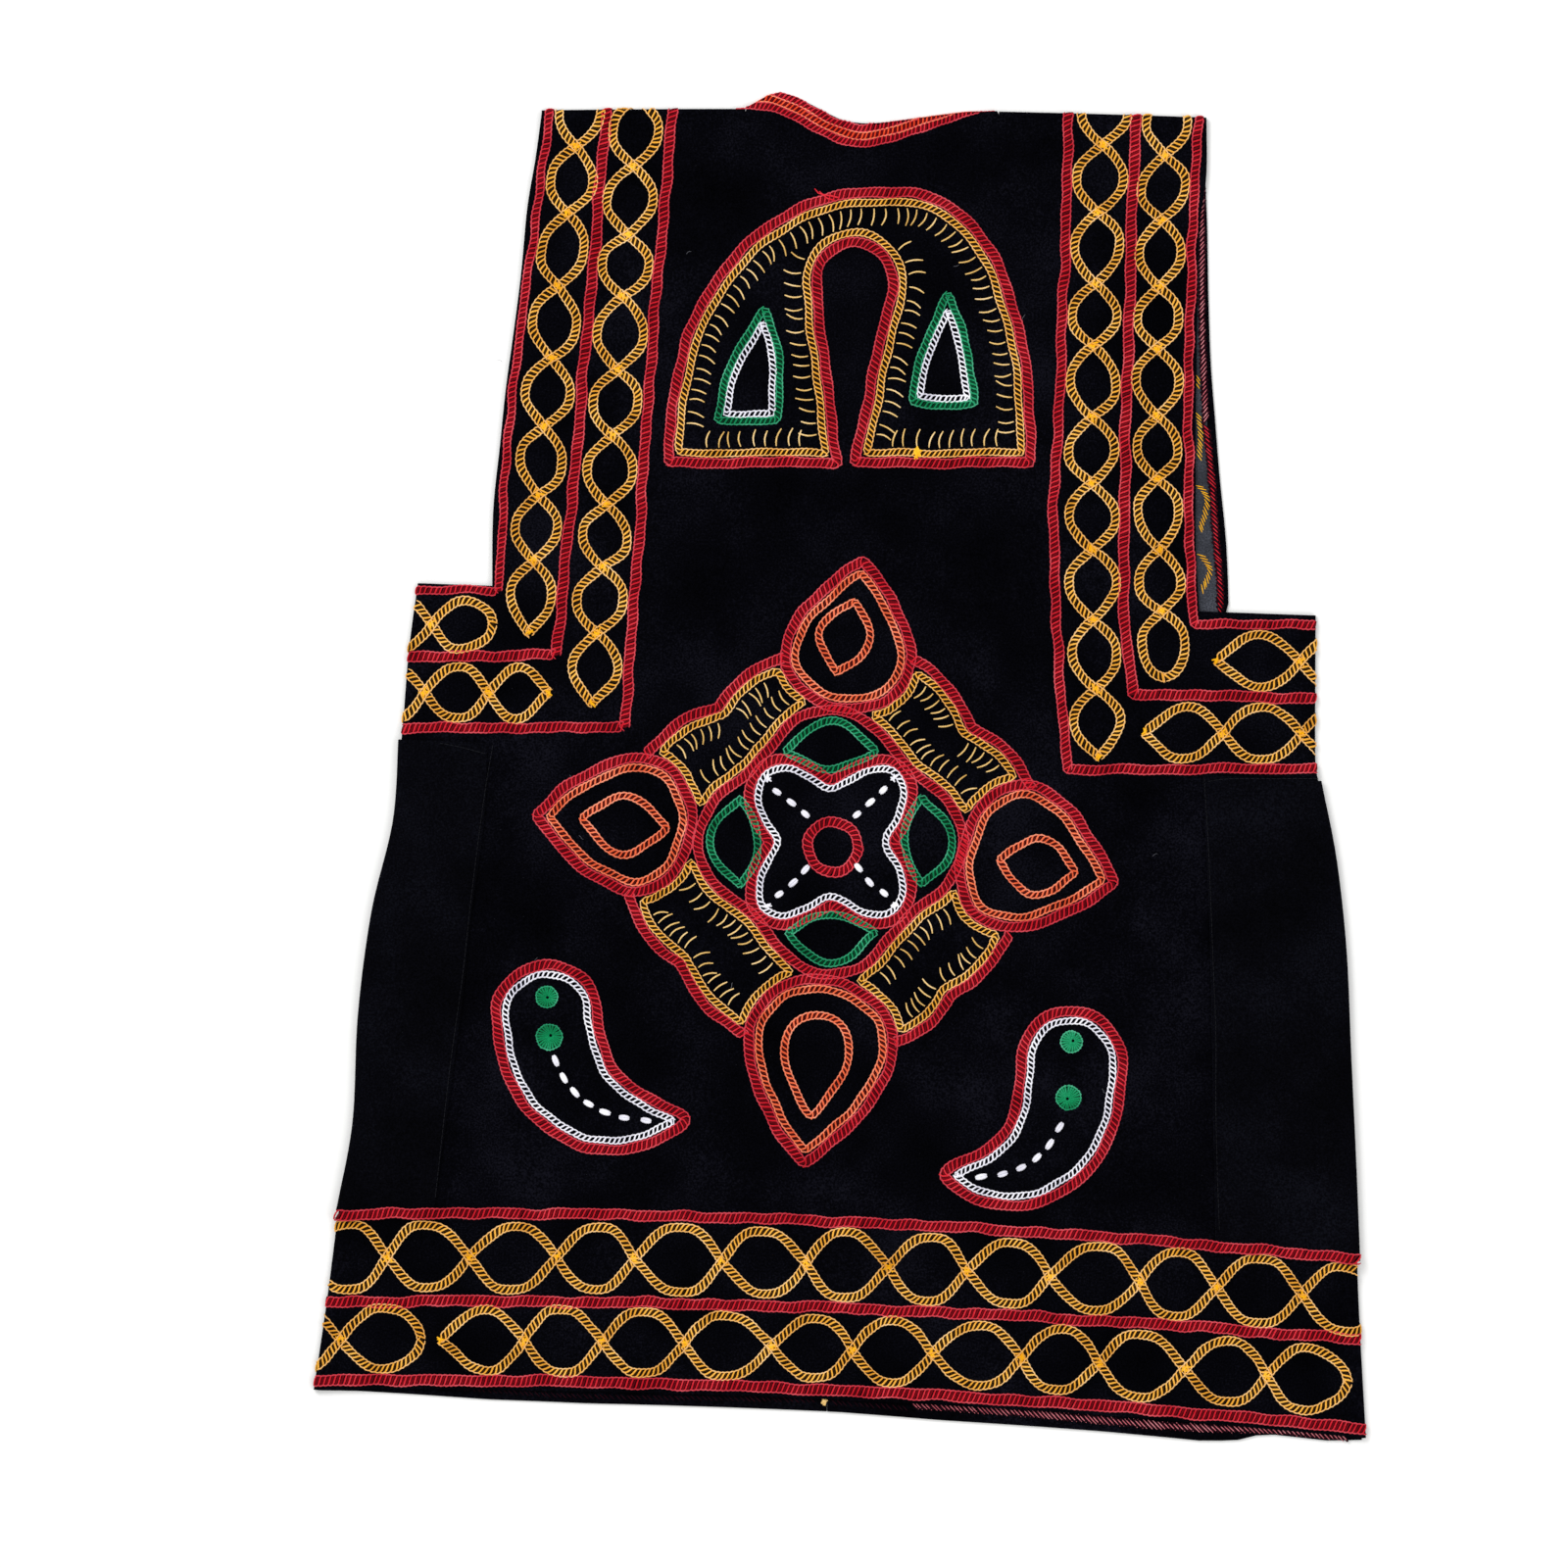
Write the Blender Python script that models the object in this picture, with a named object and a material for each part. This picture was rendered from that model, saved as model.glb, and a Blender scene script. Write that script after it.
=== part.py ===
"""Embroidered sleeveless vest of black velvet, laid flat with its back up.

Metres, +Z up, collar towards +Y. The origin is on the surface the vest lies on, in the middle
of its outline. Tables are in millimetres, as a maker would measure the laid vest from that origin.
"""

import math
import random
from collections import namedtuple

import bmesh
import bpy
from mathutils import Vector
from mathutils.bvhtree import BVHTree

for old in list(bpy.data.objects):
    bpy.data.objects.remove(old, do_unlink=True)

MM = 0.001

# Cloth and sewing sizes.
WALL = 1.5  # velvet with its woven back
GAP = 0.3  # between layers and at seams
LAYER = WALL + GAP
ROLL = 2.0  # outer radius where the back turns round a side or a shoulder
ROLL_ANGLES = (235, 180, 135, 90)  # degrees round the turned edge, from below it to its top
POCKET_ANGLES = (90, 135, 180, 225, 270)
RAMP = 10.0  # distance over which the body climbs onto the pocket that lies under it
BACK_TOP = 2 * WALL + GAP  # height of the back's outer face over bare floor
RED_WIDTH = 5.6  # laced braid of red wool
NECK_WIDTH = 11.0  # the three braids round the neck, side by side
LEAF_WIDTH = 3.6
LOOP_WIDTH = 5.0  # laced braid of yellow wool
WHITE_WIDTH = 3.8
BRAID = 0.8  # thickness of a braid
EDGE_STEP, FIGURE_STEP = 14.0, 10.0  # steps along braids on the edges and round the figures
REACH = EDGE_STEP / 2  # a braid's point clears the cloth this far round it
CENTRE = 0.502  # where the fronts meet, as a share of the way from left seam to right seam
FRONT_NECK_DEPTH, NECK_ROWS = 82.0, 5  # the front neck, and the rows that crowd under it
ARMHOLE_INSET = 1.5  # the front hides this far behind the back at the left armhole
UNDERARM_SHOWS = 15.0  # the front's armhole corner lies this far outside the back's at the right

# The back above the underarm: its two armhole edges, row by row from the shoulder fold, how far
# the front shows outside the right one, and how far the row bows up over the straight line.
ArmholeRow = namedtuple("ArmholeRow", "left_x left_y right_x right_y front_shows bow")
ARMHOLE_ROWS = (
    ArmholeRow(-166, 365.3, 204, 361.3, 0, 2.4),
    ArmholeRow(-169.5, 338, 204, 329, 0, 0.6),
    ArmholeRow(-174, 311, 200, 299, 4, 0),
    ArmholeRow(-177.5, 274, 199, 260, 6, 0),
    ArmholeRow(-182, 239, 198.5, 224, 8, 0),
    ArmholeRow(-186, 210, 198, 193, 10, 0),
    ArmholeRow(-189.3, 178, 198, 161, 12.5, 0),
    ArmholeRow(-193, 142, 198, 124, 16.5, 0),
)

# The back from the underarm to the hem: side folds, the pocket seams inside them, how far the
# middle of the row rises over the straight line, and whether a pocket lies under and over it.
SideRow = namedtuple("SideRow", "name left_x left_y seam_left seam_right right_x right_y bow lift")
SIDE_ROWS = (
    SideRow("underarm", -235, 102, -193.5, 200, 265, 84, 0, 0),
    SideRow("side", -240, 65, -194, 201, 264.8, 46, 0, 0),
    SideRow("above_pocket", -243, 27, -195, 202, 264.8, 4, 1, 0),
    SideRow("pocket_mouth", -244, 15, -196, 202, 266.2, -8, 1, 1),
    SideRow("pocket_1", -247, -30, -198, 204, 274.6, -51, 2, 1),
    SideRow("pocket_2", -259, -81, -205, 206, 280.2, -102, 3, 1),
    SideRow("pocket_3", -266.5, -138, -211, 207, 282.8, -160, 5, 1),
    SideRow("pocket_4", -269.4, -197, -219, 208, 285.6, -220, 6, 1),
    SideRow("pocket_foot", -277.3, -240.5, -225, 209, 287.6, -270, 8, 1),
    SideRow("hem_top", -280, -254, -226, 210, 288, -279, 8, 0),
    SideRow("hem_middle", -286, -300, -227, 211, 290, -321, 7, 0),
    SideRow("hem", -293, -347, -228, 212, 293, -374, 8, 0),
)
POCKET_FIRST, POCKET_LAST = 3, 8  # SIDE_ROWS that a pocket spans

# Columns between the seams, as shares of the way across. The neck lies between two of them.
NECK_START, NECK_END = 0.304, 0.685
BACK_SHARES = (0.10, 0.20, NECK_START, 0.3568, 0.413, 0.473, 0.543, 0.614, NECK_END, 0.79, 0.90)
FRONT_SHARES = (0.15, NECK_START, 0.35, 0.40, 0.45)

# The back neck edge and the depth of the front hem under the back's, along x.
NECK_EDGE = ((-52, 367), (-34, 375.5), (-12, 366), (10, 358), (36, 359.5), (62, 363), (88, 365.4))
HEM_DROP = (
    (-293, 0.5), (-268, 1), (-241, 2.6), (-196, 5.5), (-142, 6.9), (0, 7.1), (56, 8.7), (146, 9.1),
    (200, 10.05), (220, 8.4), (236, 3), (272, 3.6), (293, 1))
NECK_SAG = 1.2  # the back neck has no front under it, so it sinks a little

# Soft rises where the back doesn't lie quite flat: ends, height and half-width.
Rise = namedtuple("Rise", "x1 y1 x2 y2 height width")
RISES = (
    Rise(-70, 350, -95, 120, 1.6, 38),
    Rise(90, 340, 150, 150, 1.3, 36),
    Rise(-60, 130, 60, 150, 1.2, 40),
    Rise(-150, -20, -60, -240, 1.5, 42),
    Rise(50, -100, 190, -230, 1.8, 40),
    Rise(-110, -300, 60, -330, 1.2, 36),
    Rise(110, 60, 120, -60, 1.4, 38),
)

# Red braids across the hem: the row of the back that each follows, and how far above it.
HEM_BRAIDS = {
    "braid_hem_top": ("hem_top", 5),
    "braid_hem_middle": ("hem_middle", 2),
    "braid_hem_bottom": ("hem", 6),
}
HEM_PARTS = 6  # stretches of the smooth line that follows a row
SIDE_MARGIN = 4  # a hem braid ends this far inside the side folds

# Red braids down the sides: from the shoulder to a corner, and out to the side fold. A third
# value of CORNER breaks the smooth line that runs through the points.
CORNER = 1
EDGE_BRAIDS = {
    "braid_left_outer": ((-161, 358), (-174, 270), (-184, 190), (-190, 98, CORNER), (-231, 98)),
    "braid_left_middle": ((-130, 361), (-139, 260), (-148, 160), (-158, 62, CORNER), (-235, 61)),
    "braid_left_inner": ((-93, 361), (-104, 240), (-112, 125), (-120, 22, CORNER), (-239, 21)),
    "braid_right_inner": ((128, 360), (123, 225), (119, 120), (126, -2, CORNER), (262, -1)),
    "braid_right_middle": ((165, 359), (160, 220), (158, 100), (163, 40, CORNER), (261, 38)),
    "braid_right_outer": ((200, 357), (195, 260), (194, 150), (197, 79, CORNER), (261, 79)),
}

# Yellow loops: half the height of a loop, how far the strands run on past the first and the last
# crossing before a fold cuts them off, where those two crossings are, how far the line between
# them bows to its left, and how many times the strands cross.
Loops = namedtuple("Loops", "half_height runs_before runs_after first last bow count")
LOOP_LENGTH = 38.0  # length of a loop that a fold cuts short
UNEVEN = 0.06  # how far a crossing strays from even spacing, as a share of it
LOOPS = {
    "loops_hem_upper": Loops(16, 21, 26, (-252, -273), (257, -294), 6, 12),
    "loops_hem_lower_left": Loops(15, 7, 0, (-278, -319), (-233, -319), 0, 2),
    "loops_hem_lower": Loops(15, 0, 0, (-223, -319), (283, -343), 5.5, 12),
    "loops_left_outer": Loops(9.5, 11, 0, (-147, 345), (-173, 74), -2.5, 8),
    "loops_left_inner": Loops(11.5, 25, 0, (-115, 334), (-138, 35), 0, 9),
    "loops_right_inner": Loops(11, 12, 0, (146, 346), (144, 5), -5, 10),
    "loops_right_outer": Loops(10.5, 17, 0, (181, 340), (181, 49), -4.5, 9),
    "loops_left_underarm": Loops(11, 7, 0, (-227, 79), (-193, 79), 0, 2),
    "loops_left_waist": Loops(11.5, 7, 0, (-231, 41), (-162, 41), 0, 3),
    "loops_right_underarm": Loops(13.5, 0, 0, (209, 59), (256, 58), 0, 2),
    "loops_right_waist": Loops(13, 0, 0, (169, 19), (257, 18), 0, 3),
}

# The figures on the middle of the back, each drawn from its main sizes.
# The neck braids scoop down to a lowest point, with a steeper slope on the left.
Scoop = namedtuple("Scoop", "start end lowest_x lowest_y left_slope right_slope softness")
NECK_SCOOP = Scoop(-38, 52, 12, 350.5, 0.42, 0.26, 12)
# The arch: its feet, its crown and how far each side reaches from it, and the keyhole in it.
Arch = namedtuple("Arch", "foot crown_x crown_y left right left_fullness right_fullness")
ARCH = Arch(169, 27, 320, 122, 79, 2.2, 2.4)
Keyhole = namedtuple("Keyhole", "foot_left foot_right head_x head_y radius")
KEYHOLE = Keyhole(-2, 8, 8, 270, 21.5)
ARCH_PARTS, KEYHOLE_PARTS = 18, 8  # straight stretches of each round
KEYHOLE_WRAP = 0.2  # how far, in radians, the head's round runs on past a half circle
# Corners clockwise, and how far each side bows outwards from the straight.
TRIANGLES = {
    "triangle_left": (((-42, 254), (-36, 193), (-68, 193)), (4, 0, 3)),
    "triangle_right": (((60, 263), (75, 202), (40, 203)), (2, 2, 2)),
}
Drop = namedtuple("Drop", "tip base width")
PETALS = {
    "petal_top": Drop((13, 114), (0, 33), 70),
    "petal_right": Drop((152, -65), (69, -42), 80),
    "petal_bottom": Drop((-20, -221), (-6, -119), 80),
    "petal_left": Drop((-169, -27), (-83, -35), 74),
}
SHARPNESS = 0.9  # of a drop's tip: 0 is an ellipse
DROP_ROUND, ROSETTE_ROUND = 2.4, 7  # way round, as multiples of a drop's length and of a radius
# Leaves with two points, and how far each side bows; the one at the bottom is a drop.
LEAVES = {
    "leaf_top": (((8, 92), (-2, 52)), (14, 14)),
    "leaf_right": (((89, -52), (131, -59)), (16, 16)),
    "leaf_left": (((-143, -29), (-97, -34)), (15, 18)),
}
LEAF_BOTTOM = Drop((-16, -194), (-11, -138), 36)
# Scallops between the petals: two bows that meet at the middle point.
SCALLOPS = {
    "scallop_top_left": ((-111, 13), (-68, 33), (-37, 64)),
    "scallop_top_right": ((47, 60), (73, 22), (105, -4)),
    "scallop_bottom_right": ((94, -99), (61, -128), (37, -157)),
    "scallop_bottom_left": ((-59, -156), (-90, -109), (-122, -78)),
}
SCALLOP_BOW = 5
# Lines whose distance from a centre swings four times round; a ring has no swing.
Rosette = namedtuple("Rosette", "centre radius swing turn")
LOBES = Rosette((-5, -42), 62, 5, 0)
STAR = Rosette((-5, -42), 41, 11, 45)
RING = Rosette((-4, -45), 14, 0, 0)
# Paisleys: the middle and radius of the head, the point the spine bends towards, and the tip.
Paisley = namedtuple("Paisley", "head radius bend tip")
PAISLEY_PARTS, HEAD_PARTS = 6, 5  # stretches along the spine and round the head
TAPER, TAPER_END = 2.5, 0.7  # powers of how a paisley narrows to its tip
PAISLEYS = {
    "paisley_left": Paisley((-163, -138), 28, (-160, -205), (-86, -196)),
    "paisley_right": Paisley((129, -164), 28, (128, -238), (58, -227)),
}

COLOURS = {
    "velvet": ((0.006, 0.006, 0.009), 0.95),
    "velvet_pocket": ((0.009, 0.009, 0.014), 0.95),
    "red": ((0.46, 0.012, 0.035), 0.75),
    "yellow": ((0.85, 0.45, 0.06), 0.7),
    "salmon": ((0.85, 0.2, 0.07), 0.7),
    "green": ((0.0, 0.27, 0.11), 0.65),
    "white": ((0.85, 0.83, 0.88), 0.6),
}


def material(name):
    """A finish by its name in COLOURS, made once."""
    found = bpy.data.materials.get(name)
    if found:
        return found
    colour, roughness = COLOURS[name]
    made = bpy.data.materials.new(name)
    made.use_nodes = True
    shader = made.node_tree.nodes["Principled BSDF"]
    shader.inputs["Base Color"].default_value = (*colour, 1)
    shader.inputs["Roughness"].default_value = roughness
    shader.inputs["Metallic"].default_value = 0
    return made


def mix(a, b, share):
    return a + (b - a) * share


def along(table, x):
    """The value at x of a table of (x, value) rows, straight between the rows."""
    for (x1, v1), (x2, v2) in zip(table, table[1:]):
        if x <= x2:
            return mix(v1, v2, max(0.0, (x - x1) / (x2 - x1)))
    return table[-1][1]


def rise_at(x, y):
    """How far the back's soft rises lift it over a point."""
    total = 0.0
    for rise in RISES:
        start = Vector((rise.x1, rise.y1))
        run = Vector((rise.x2, rise.y2)) - start
        share = (Vector((x, y)) - start).dot(run) / run.length_squared
        nearest = start + run * min(1, max(0, share))
        off = (Vector((x, y)) - nearest).length / rise.width
        total += rise.height * math.exp(-off * off)
    return total


def closed_wall(name, outer, inner, finish):
    """One closed body from two grids of points in millimetres, row by row; None leaves a hole."""
    mesh = bmesh.new()
    sheets = []
    for grid in (outer, inner):
        sheets.append([[p and mesh.verts.new(Vector(p) * MM) for p in row] for row in grid])
    rims = {}
    for side, sheet in enumerate(sheets):
        for row, (above, below) in enumerate(zip(sheet, sheet[1:])):
            for col in range(len(above) - 1):
                cell = (above[col], above[col + 1], below[col + 1], below[col])
                if None in cell:
                    continue
                a, b, c, d = cell if side == 0 else cell[::-1]
                # The diagonal is the same on each layer, so that nested layers keep their gap.
                triangles = ((a, b, c), (a, c, d)) if side == 0 else ((a, b, d), (b, c, d))
                for triangle in triangles:
                    mesh.faces.new(triangle)
                corners = ((row, col), (row, col + 1), (row + 1, col + 1), (row + 1, col))
                if side:
                    continue
                for edge in zip(corners, corners[1:] + corners[:1]):
                    key = frozenset(edge)
                    rims[key] = None if key in rims else edge
    for edge in filter(None, rims.values()):
        (r1, c1), (r2, c2) = edge
        mesh.faces.new((sheets[0][r2][c2], sheets[0][r1][c1], sheets[1][r1][c1], sheets[1][r2][c2]))
    return finished(name, mesh, finish)


def finished(name, mesh, finish):
    """An object from a bmesh, with its faces turned outwards and shaded smooth but for edges."""
    bmesh.ops.recalc_face_normals(mesh, faces=mesh.faces)
    data = bpy.data.meshes.new(name)
    mesh.to_mesh(data)
    mesh.free()
    data.materials.append(material(finish))
    data.shade_smooth()
    data.set_sharp_from_angle(angle=math.radians(40))
    made = bpy.data.objects.new(name, data)
    bpy.context.collection.objects.link(made)
    return made


def row_y(row, x):
    """The y of a row at x: straight between its two edges, with the row's bow."""
    share = (x - row.left_x) / (row.right_x - row.left_x)
    return mix(row.left_y, row.right_y, share) + row.bow * 4 * share * (1 - share)


def seam_xs(row, shares):
    """The x of each column from left seam to right seam, with the ramp columns by the seams."""
    xs = [row.seam_left, row.seam_left + RAMP]
    xs += [mix(row.seam_left, row.seam_right, share) for share in shares]
    return xs + [row.seam_right - RAMP, row.seam_right]


def rolled(edge, inward, base, radius, angles):
    """Points (across, z) round a turned edge, from below it to its top."""
    centre = edge + inward * ROLL
    turns = [math.radians(angle) for angle in angles]
    return [(centre + inward * radius * math.cos(t), base + ROLL + radius * math.sin(t)) for t in turns]


# Back panel: rows of the roll over the shoulders, the armhole rows, then the side rows.

def back_cross_row(row):
    """Outer and inner points of one side row of the back, from side fold to side fold."""
    outer, inner = [], []
    base = row.lift * LAYER
    sides = []
    for edge, seam, inward in ((row.left_x, row.seam_left, 1), (row.right_x, row.seam_right, -1)):
        turned = list(zip(
            rolled(edge, inward, base, ROLL, ROLL_ANGLES),
            rolled(edge, inward, base, ROLL - WALL, ROLL_ANGLES),
        ))
        for share in (1 / 3, 2 / 3):
            x = mix(edge + inward * ROLL, seam, share)
            turned.append(((x, base + BACK_TOP), (x, base + BACK_TOP - WALL)))
        sides.append(turned)
    middle = []
    for x in seam_xs(row, BACK_SHARES):
        lift = LAYER * row.lift if x in (row.seam_left, row.seam_right) else 0
        rise = rise_at(x, row_y(row, x)) * (lift == 0)
        z = BACK_TOP + lift + rise
        middle.append(((x, z), (x, z - WALL)))
    for (x, z), (inner_x, inner_z) in sides[0] + middle + sides[1][::-1]:
        outer.append((x, row_y(row, x), z))
        inner.append((inner_x, row_y(row, inner_x), inner_z))
    return outer, inner


def armhole_row_points(row):
    """x and y of each column of an armhole row of the back."""
    seams = SIDE_ROWS[0]._replace(seam_left=row.left_x, seam_right=row.right_x)
    xs = seam_xs(seams, BACK_SHARES)
    return [(x, row_y(row, x)) for x in xs]


def build_back():
    outer, inner = [], []
    blank = [None] * (len(ROLL_ANGLES) + 2)
    fold = armhole_row_points(ARMHOLE_ROWS[0])
    shares = [0, 0, *BACK_SHARES, 1, 1]
    in_neck = [NECK_START < share < NECK_END for share in shares]
    for turn, angle in enumerate(ROLL_ANGLES):
        rows = ([], [])
        for (x, y), neck in zip(fold, in_neck):
            if neck and turn < 2:
                points = (None, None)
            elif neck:
                edge = along(NECK_EDGE, x)
                edge_y = edge if turn == 2 else min(y - ROLL, edge - 4)
                top = BACK_TOP - NECK_SAG * (1 if turn == 2 else 0.6)
                points = ((x, edge_y, top), (x, edge_y, top - WALL))
            else:
                points = []
                for radius in (ROLL, ROLL - WALL):
                    (across, z), = rolled(-y, 1, 0, radius, (angle,))
                    points.append((x, -across, z))
            for row, point in zip(rows, points):
                row.append(point)
        outer.append(blank + rows[0] + blank)
        inner.append(blank + rows[1] + blank)
    for row in ARMHOLE_ROWS[1:]:
        points = armhole_row_points(row)
        edge_x = (points[0][0], points[-1][0])
        tops = [(x, y, BACK_TOP + rise_at(x, y) * (x not in edge_x)) for x, y in points]
        outer.append(blank + tops + blank)
        inner.append(blank + [(x, y, z - WALL) for x, y, z in tops] + blank)
    for row in SIDE_ROWS:
        points = back_cross_row(row)
        outer.append(points[0])
        inner.append(points[1])
    return closed_wall("back_panel", outer, inner, "velvet")


# Front panels: the under layer, from side to centre-front edge.

def front_xs(row, side):
    """The x of each column of one front, from its side to the centre-front edge."""
    edge, seam, inward = (
        (row.left_x, row.seam_left, 1) if side == "left" else (row.right_x, row.seam_right, -1)
    )
    start = edge + inward * (ROLL + GAP)
    roll_top = edge + inward * ROLL
    xs = [start, mix(roll_top, seam, 1 / 3), mix(roll_top, seam, 2 / 3), seam, seam + inward * RAMP]
    return xs + front_middle_xs(row.seam_left, row.seam_right, side)


def front_middle_xs(seam_left, seam_right, side):
    inward = 1 if side == "left" else -1
    shares = FRONT_SHARES if side == "left" else [2 * CENTRE - share for share in FRONT_SHARES]
    xs = [mix(seam_left, seam_right, share) for share in shares]
    return xs + [mix(seam_left, seam_right, CENTRE) - inward * GAP / 2]


def build_front(side):
    inward = 1 if side == "left" else -1
    outer, inner = [], []
    for number, row in enumerate(ARMHOLE_ROWS):
        edge_x, edge_y = (row.left_x, row.left_y) if side == "left" else (row.right_x, row.right_y)
        shown = row.front_shows if side == "right" else -ARMHOLE_INSET
        middle = front_middle_xs(row.left_x, row.right_x, side)
        xs = [edge_x - inward * shown, edge_x + inward * RAMP, *middle]
        points = []
        for x in xs:
            share = (x - row.left_x) / (row.right_x - row.left_x)
            y = row_y(row, x) - (ROLL + GAP if number == 0 else 0)
            # Towards the centre the rows crowd together under the scooped front neck.
            off_centre = abs(share - CENTRE) / (CENTRE - NECK_START)
            depth = FRONT_NECK_DEPTH * math.sqrt(max(0.0, 1 - off_centre**2))
            y -= depth * max(0.0, 1 - number / NECK_ROWS)
            points.append((x, y, WALL))
        outer.append([None] * 3 + points)
        inner.append([None] * 3 + [(x, y, 0) for x, y, _ in points])
    for row in SIDE_ROWS:
        points = []
        for column, x in enumerate(front_xs(row, side)):
            low = LAYER * row.lift * (column < 4)
            y = row_y(row, x)
            if row.name == "hem":
                y -= along(HEM_DROP, x)
            shift = UNDERARM_SHOWS * (row.name == "underarm" and column == 3 and side == "right")
            points.append((x + shift, y, low + WALL))
        outer.append(points)
        inner.append([(x, y, z - WALL) for x, y, z in points])
    return closed_wall("front_" + side, outer, inner, "velvet")


# Pockets: each runs from its seam on the back, round the side fold, to its seam on the front.

def build_pocket(side):
    outer, inner = [], []
    for row in SIDE_ROWS[POCKET_FIRST:POCKET_LAST + 1]:
        edge, seam, inward = (
            (row.left_x, row.seam_left, 1) if side == "left" else (row.right_x, row.seam_right, -1)
        )
        centre = edge + inward * ROLL
        flats = [seam, mix(centre, seam, 2 / 3), mix(centre, seam, 1 / 3)]
        lifted = LAYER + BACK_TOP
        section = [((x, lifted + LAYER), (x, lifted + GAP)) for x in flats]
        section += zip(
            rolled(edge, inward, LAYER, ROLL + LAYER, POCKET_ANGLES),
            rolled(edge, inward, LAYER, ROLL + GAP, POCKET_ANGLES),
        )
        section += [((x, 0), (x, WALL)) for x in flats[::-1]]
        outer.append([(x, row_y(row, x), z) for (x, z), _ in section])
        inner.append([(x, row_y(row, x), z) for _, (x, z) in section])
    return closed_wall("pocket_" + side, outer, inner, "velvet_pocket")


# Braids and loops: flat outlines laid on the back's outer face.

Line = namedtuple("Line", "width closed colour points")  # a braid; its points are (x, y[, CORNER])


def scooped(scoop):
    """An open line that dips to a lowest point, with a slope of its own on each side."""
    line = []
    for x in spaced(scoop.start, scoop.end, round((scoop.end - scoop.start) / EDGE_STEP)):
        off = x - scoop.lowest_x
        slope = scoop.left_slope if off < 0 else scoop.right_slope
        line.append((x, scoop.lowest_y + slope * (math.hypot(off, scoop.softness) - scoop.softness)))
    return line


def spaced(first, last, parts):
    return [mix(first, last, k / parts) for k in range(parts + 1)]


def arched():
    """The arch's closed line: a superellipse outside, and a keyhole that opens at its foot."""
    line = [(ARCH.crown_x - ARCH.left, ARCH.foot, CORNER)]
    for turn in spaced(math.pi, 0, ARCH_PARTS)[1:-1]:
        side = ARCH.left if turn > math.pi / 2 else ARCH.right
        power = 2 / (ARCH.left_fullness if turn > math.pi / 2 else ARCH.right_fullness)
        across = math.copysign(abs(math.cos(turn)) ** power, math.cos(turn))
        rise = (ARCH.crown_y - ARCH.foot) * math.sin(turn) ** power
        line.append((ARCH.crown_x + side * across, ARCH.foot + rise))
    line.append((ARCH.crown_x + ARCH.right, ARCH.foot, CORNER))
    line.append((KEYHOLE.foot_right, ARCH.foot, CORNER))
    for turn in spaced(-KEYHOLE_WRAP, math.pi + KEYHOLE_WRAP, KEYHOLE_PARTS):
        line.append((KEYHOLE.head_x + KEYHOLE.radius * math.cos(turn),
                     KEYHOLE.head_y + KEYHOLE.radius * math.sin(turn)))
    line.append((KEYHOLE.foot_left, ARCH.foot, CORNER))
    return line


def bowed(corners, bows, closed=True):
    """Corners joined by lines that bow to the left of their run."""
    line = []
    ends = corners[1:] + corners[:1] if closed else corners[1:]
    for start, end, bow in zip(corners, ends, bows):
        begin, run = Vector(start), Vector(end) - Vector(start)
        aside = Vector((-run.y, run.x)).normalized() * bow
        parts = max(2, round(run.length / FIGURE_STEP))
        line.append((*start, CORNER))
        for share in spaced(0, 1, parts)[1:-1]:
            line.append(tuple(begin + run * share + aside * math.sin(math.pi * share)))
    if not closed:
        line.append(corners[-1])
    return line


def dropped(drop):
    """A closed line with a point at the tip and round at the base."""
    base, run = Vector(drop.base), Vector(drop.tip) - Vector(drop.base)
    aside = Vector((-run.y, run.x)).normalized() * drop.width / 2
    widest = math.sqrt((1 + SHARPNESS) / (2 + SHARPNESS))  # sine of half the turn there
    most = 2 * widest * math.sqrt(1 - widest**2) * widest**SHARPNESS
    line = [(*drop.tip, CORNER)]
    for turn in spaced(0, 2 * math.pi, round(DROP_ROUND * run.length / FIGURE_STEP))[1:-1]:
        out = math.sin(turn) * math.sin(turn / 2) ** SHARPNESS / most
        line.append(tuple(base + run * (1 + math.cos(turn)) / 2 + aside * out))
    return line


def swung(rosette):
    """A closed line round a centre, nearer and farther four times."""
    centre = Vector(rosette.centre)
    line = []
    for turn in spaced(0, 2 * math.pi, round(ROSETTE_ROUND * rosette.radius / FIGURE_STEP))[:-1]:
        reach = rosette.radius + rosette.swing * math.cos(4 * (turn - math.radians(rosette.turn)))
        line.append(tuple(centre + Vector((math.cos(turn), math.sin(turn))) * reach))
    return line


def curled(paisley):
    """A closed line round a curved spine: from the tip along one side, round the head and back."""
    head, bend, tip = Vector(paisley.head), Vector(paisley.bend), Vector(paisley.tip)
    sides = ([], [])
    for share in spaced(1, 0, PAISLEY_PARTS)[1:]:
        middle = head * (1 - share)**2 + bend * 2 * share * (1 - share) + tip * share**2
        run = (bend - head) * (1 - share) + (tip - bend) * share
        half = paisley.radius * (1 - share**TAPER)**TAPER_END
        aside = Vector((-run.y, run.x)).normalized() * half
        sides[0].append(tuple(middle + aside))
        sides[1].append(tuple(middle - aside))
    back = (head - bend).normalized() * paisley.radius
    across = Vector(sides[0][-1]) - head
    round_head = [tuple(head + across * math.cos(turn) + back * math.sin(turn))
                  for turn in spaced(0, math.pi, HEAD_PARTS)[1:-1]]
    return [(*paisley.tip, CORNER), *sides[0], *round_head, *sides[1][::-1]]


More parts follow.
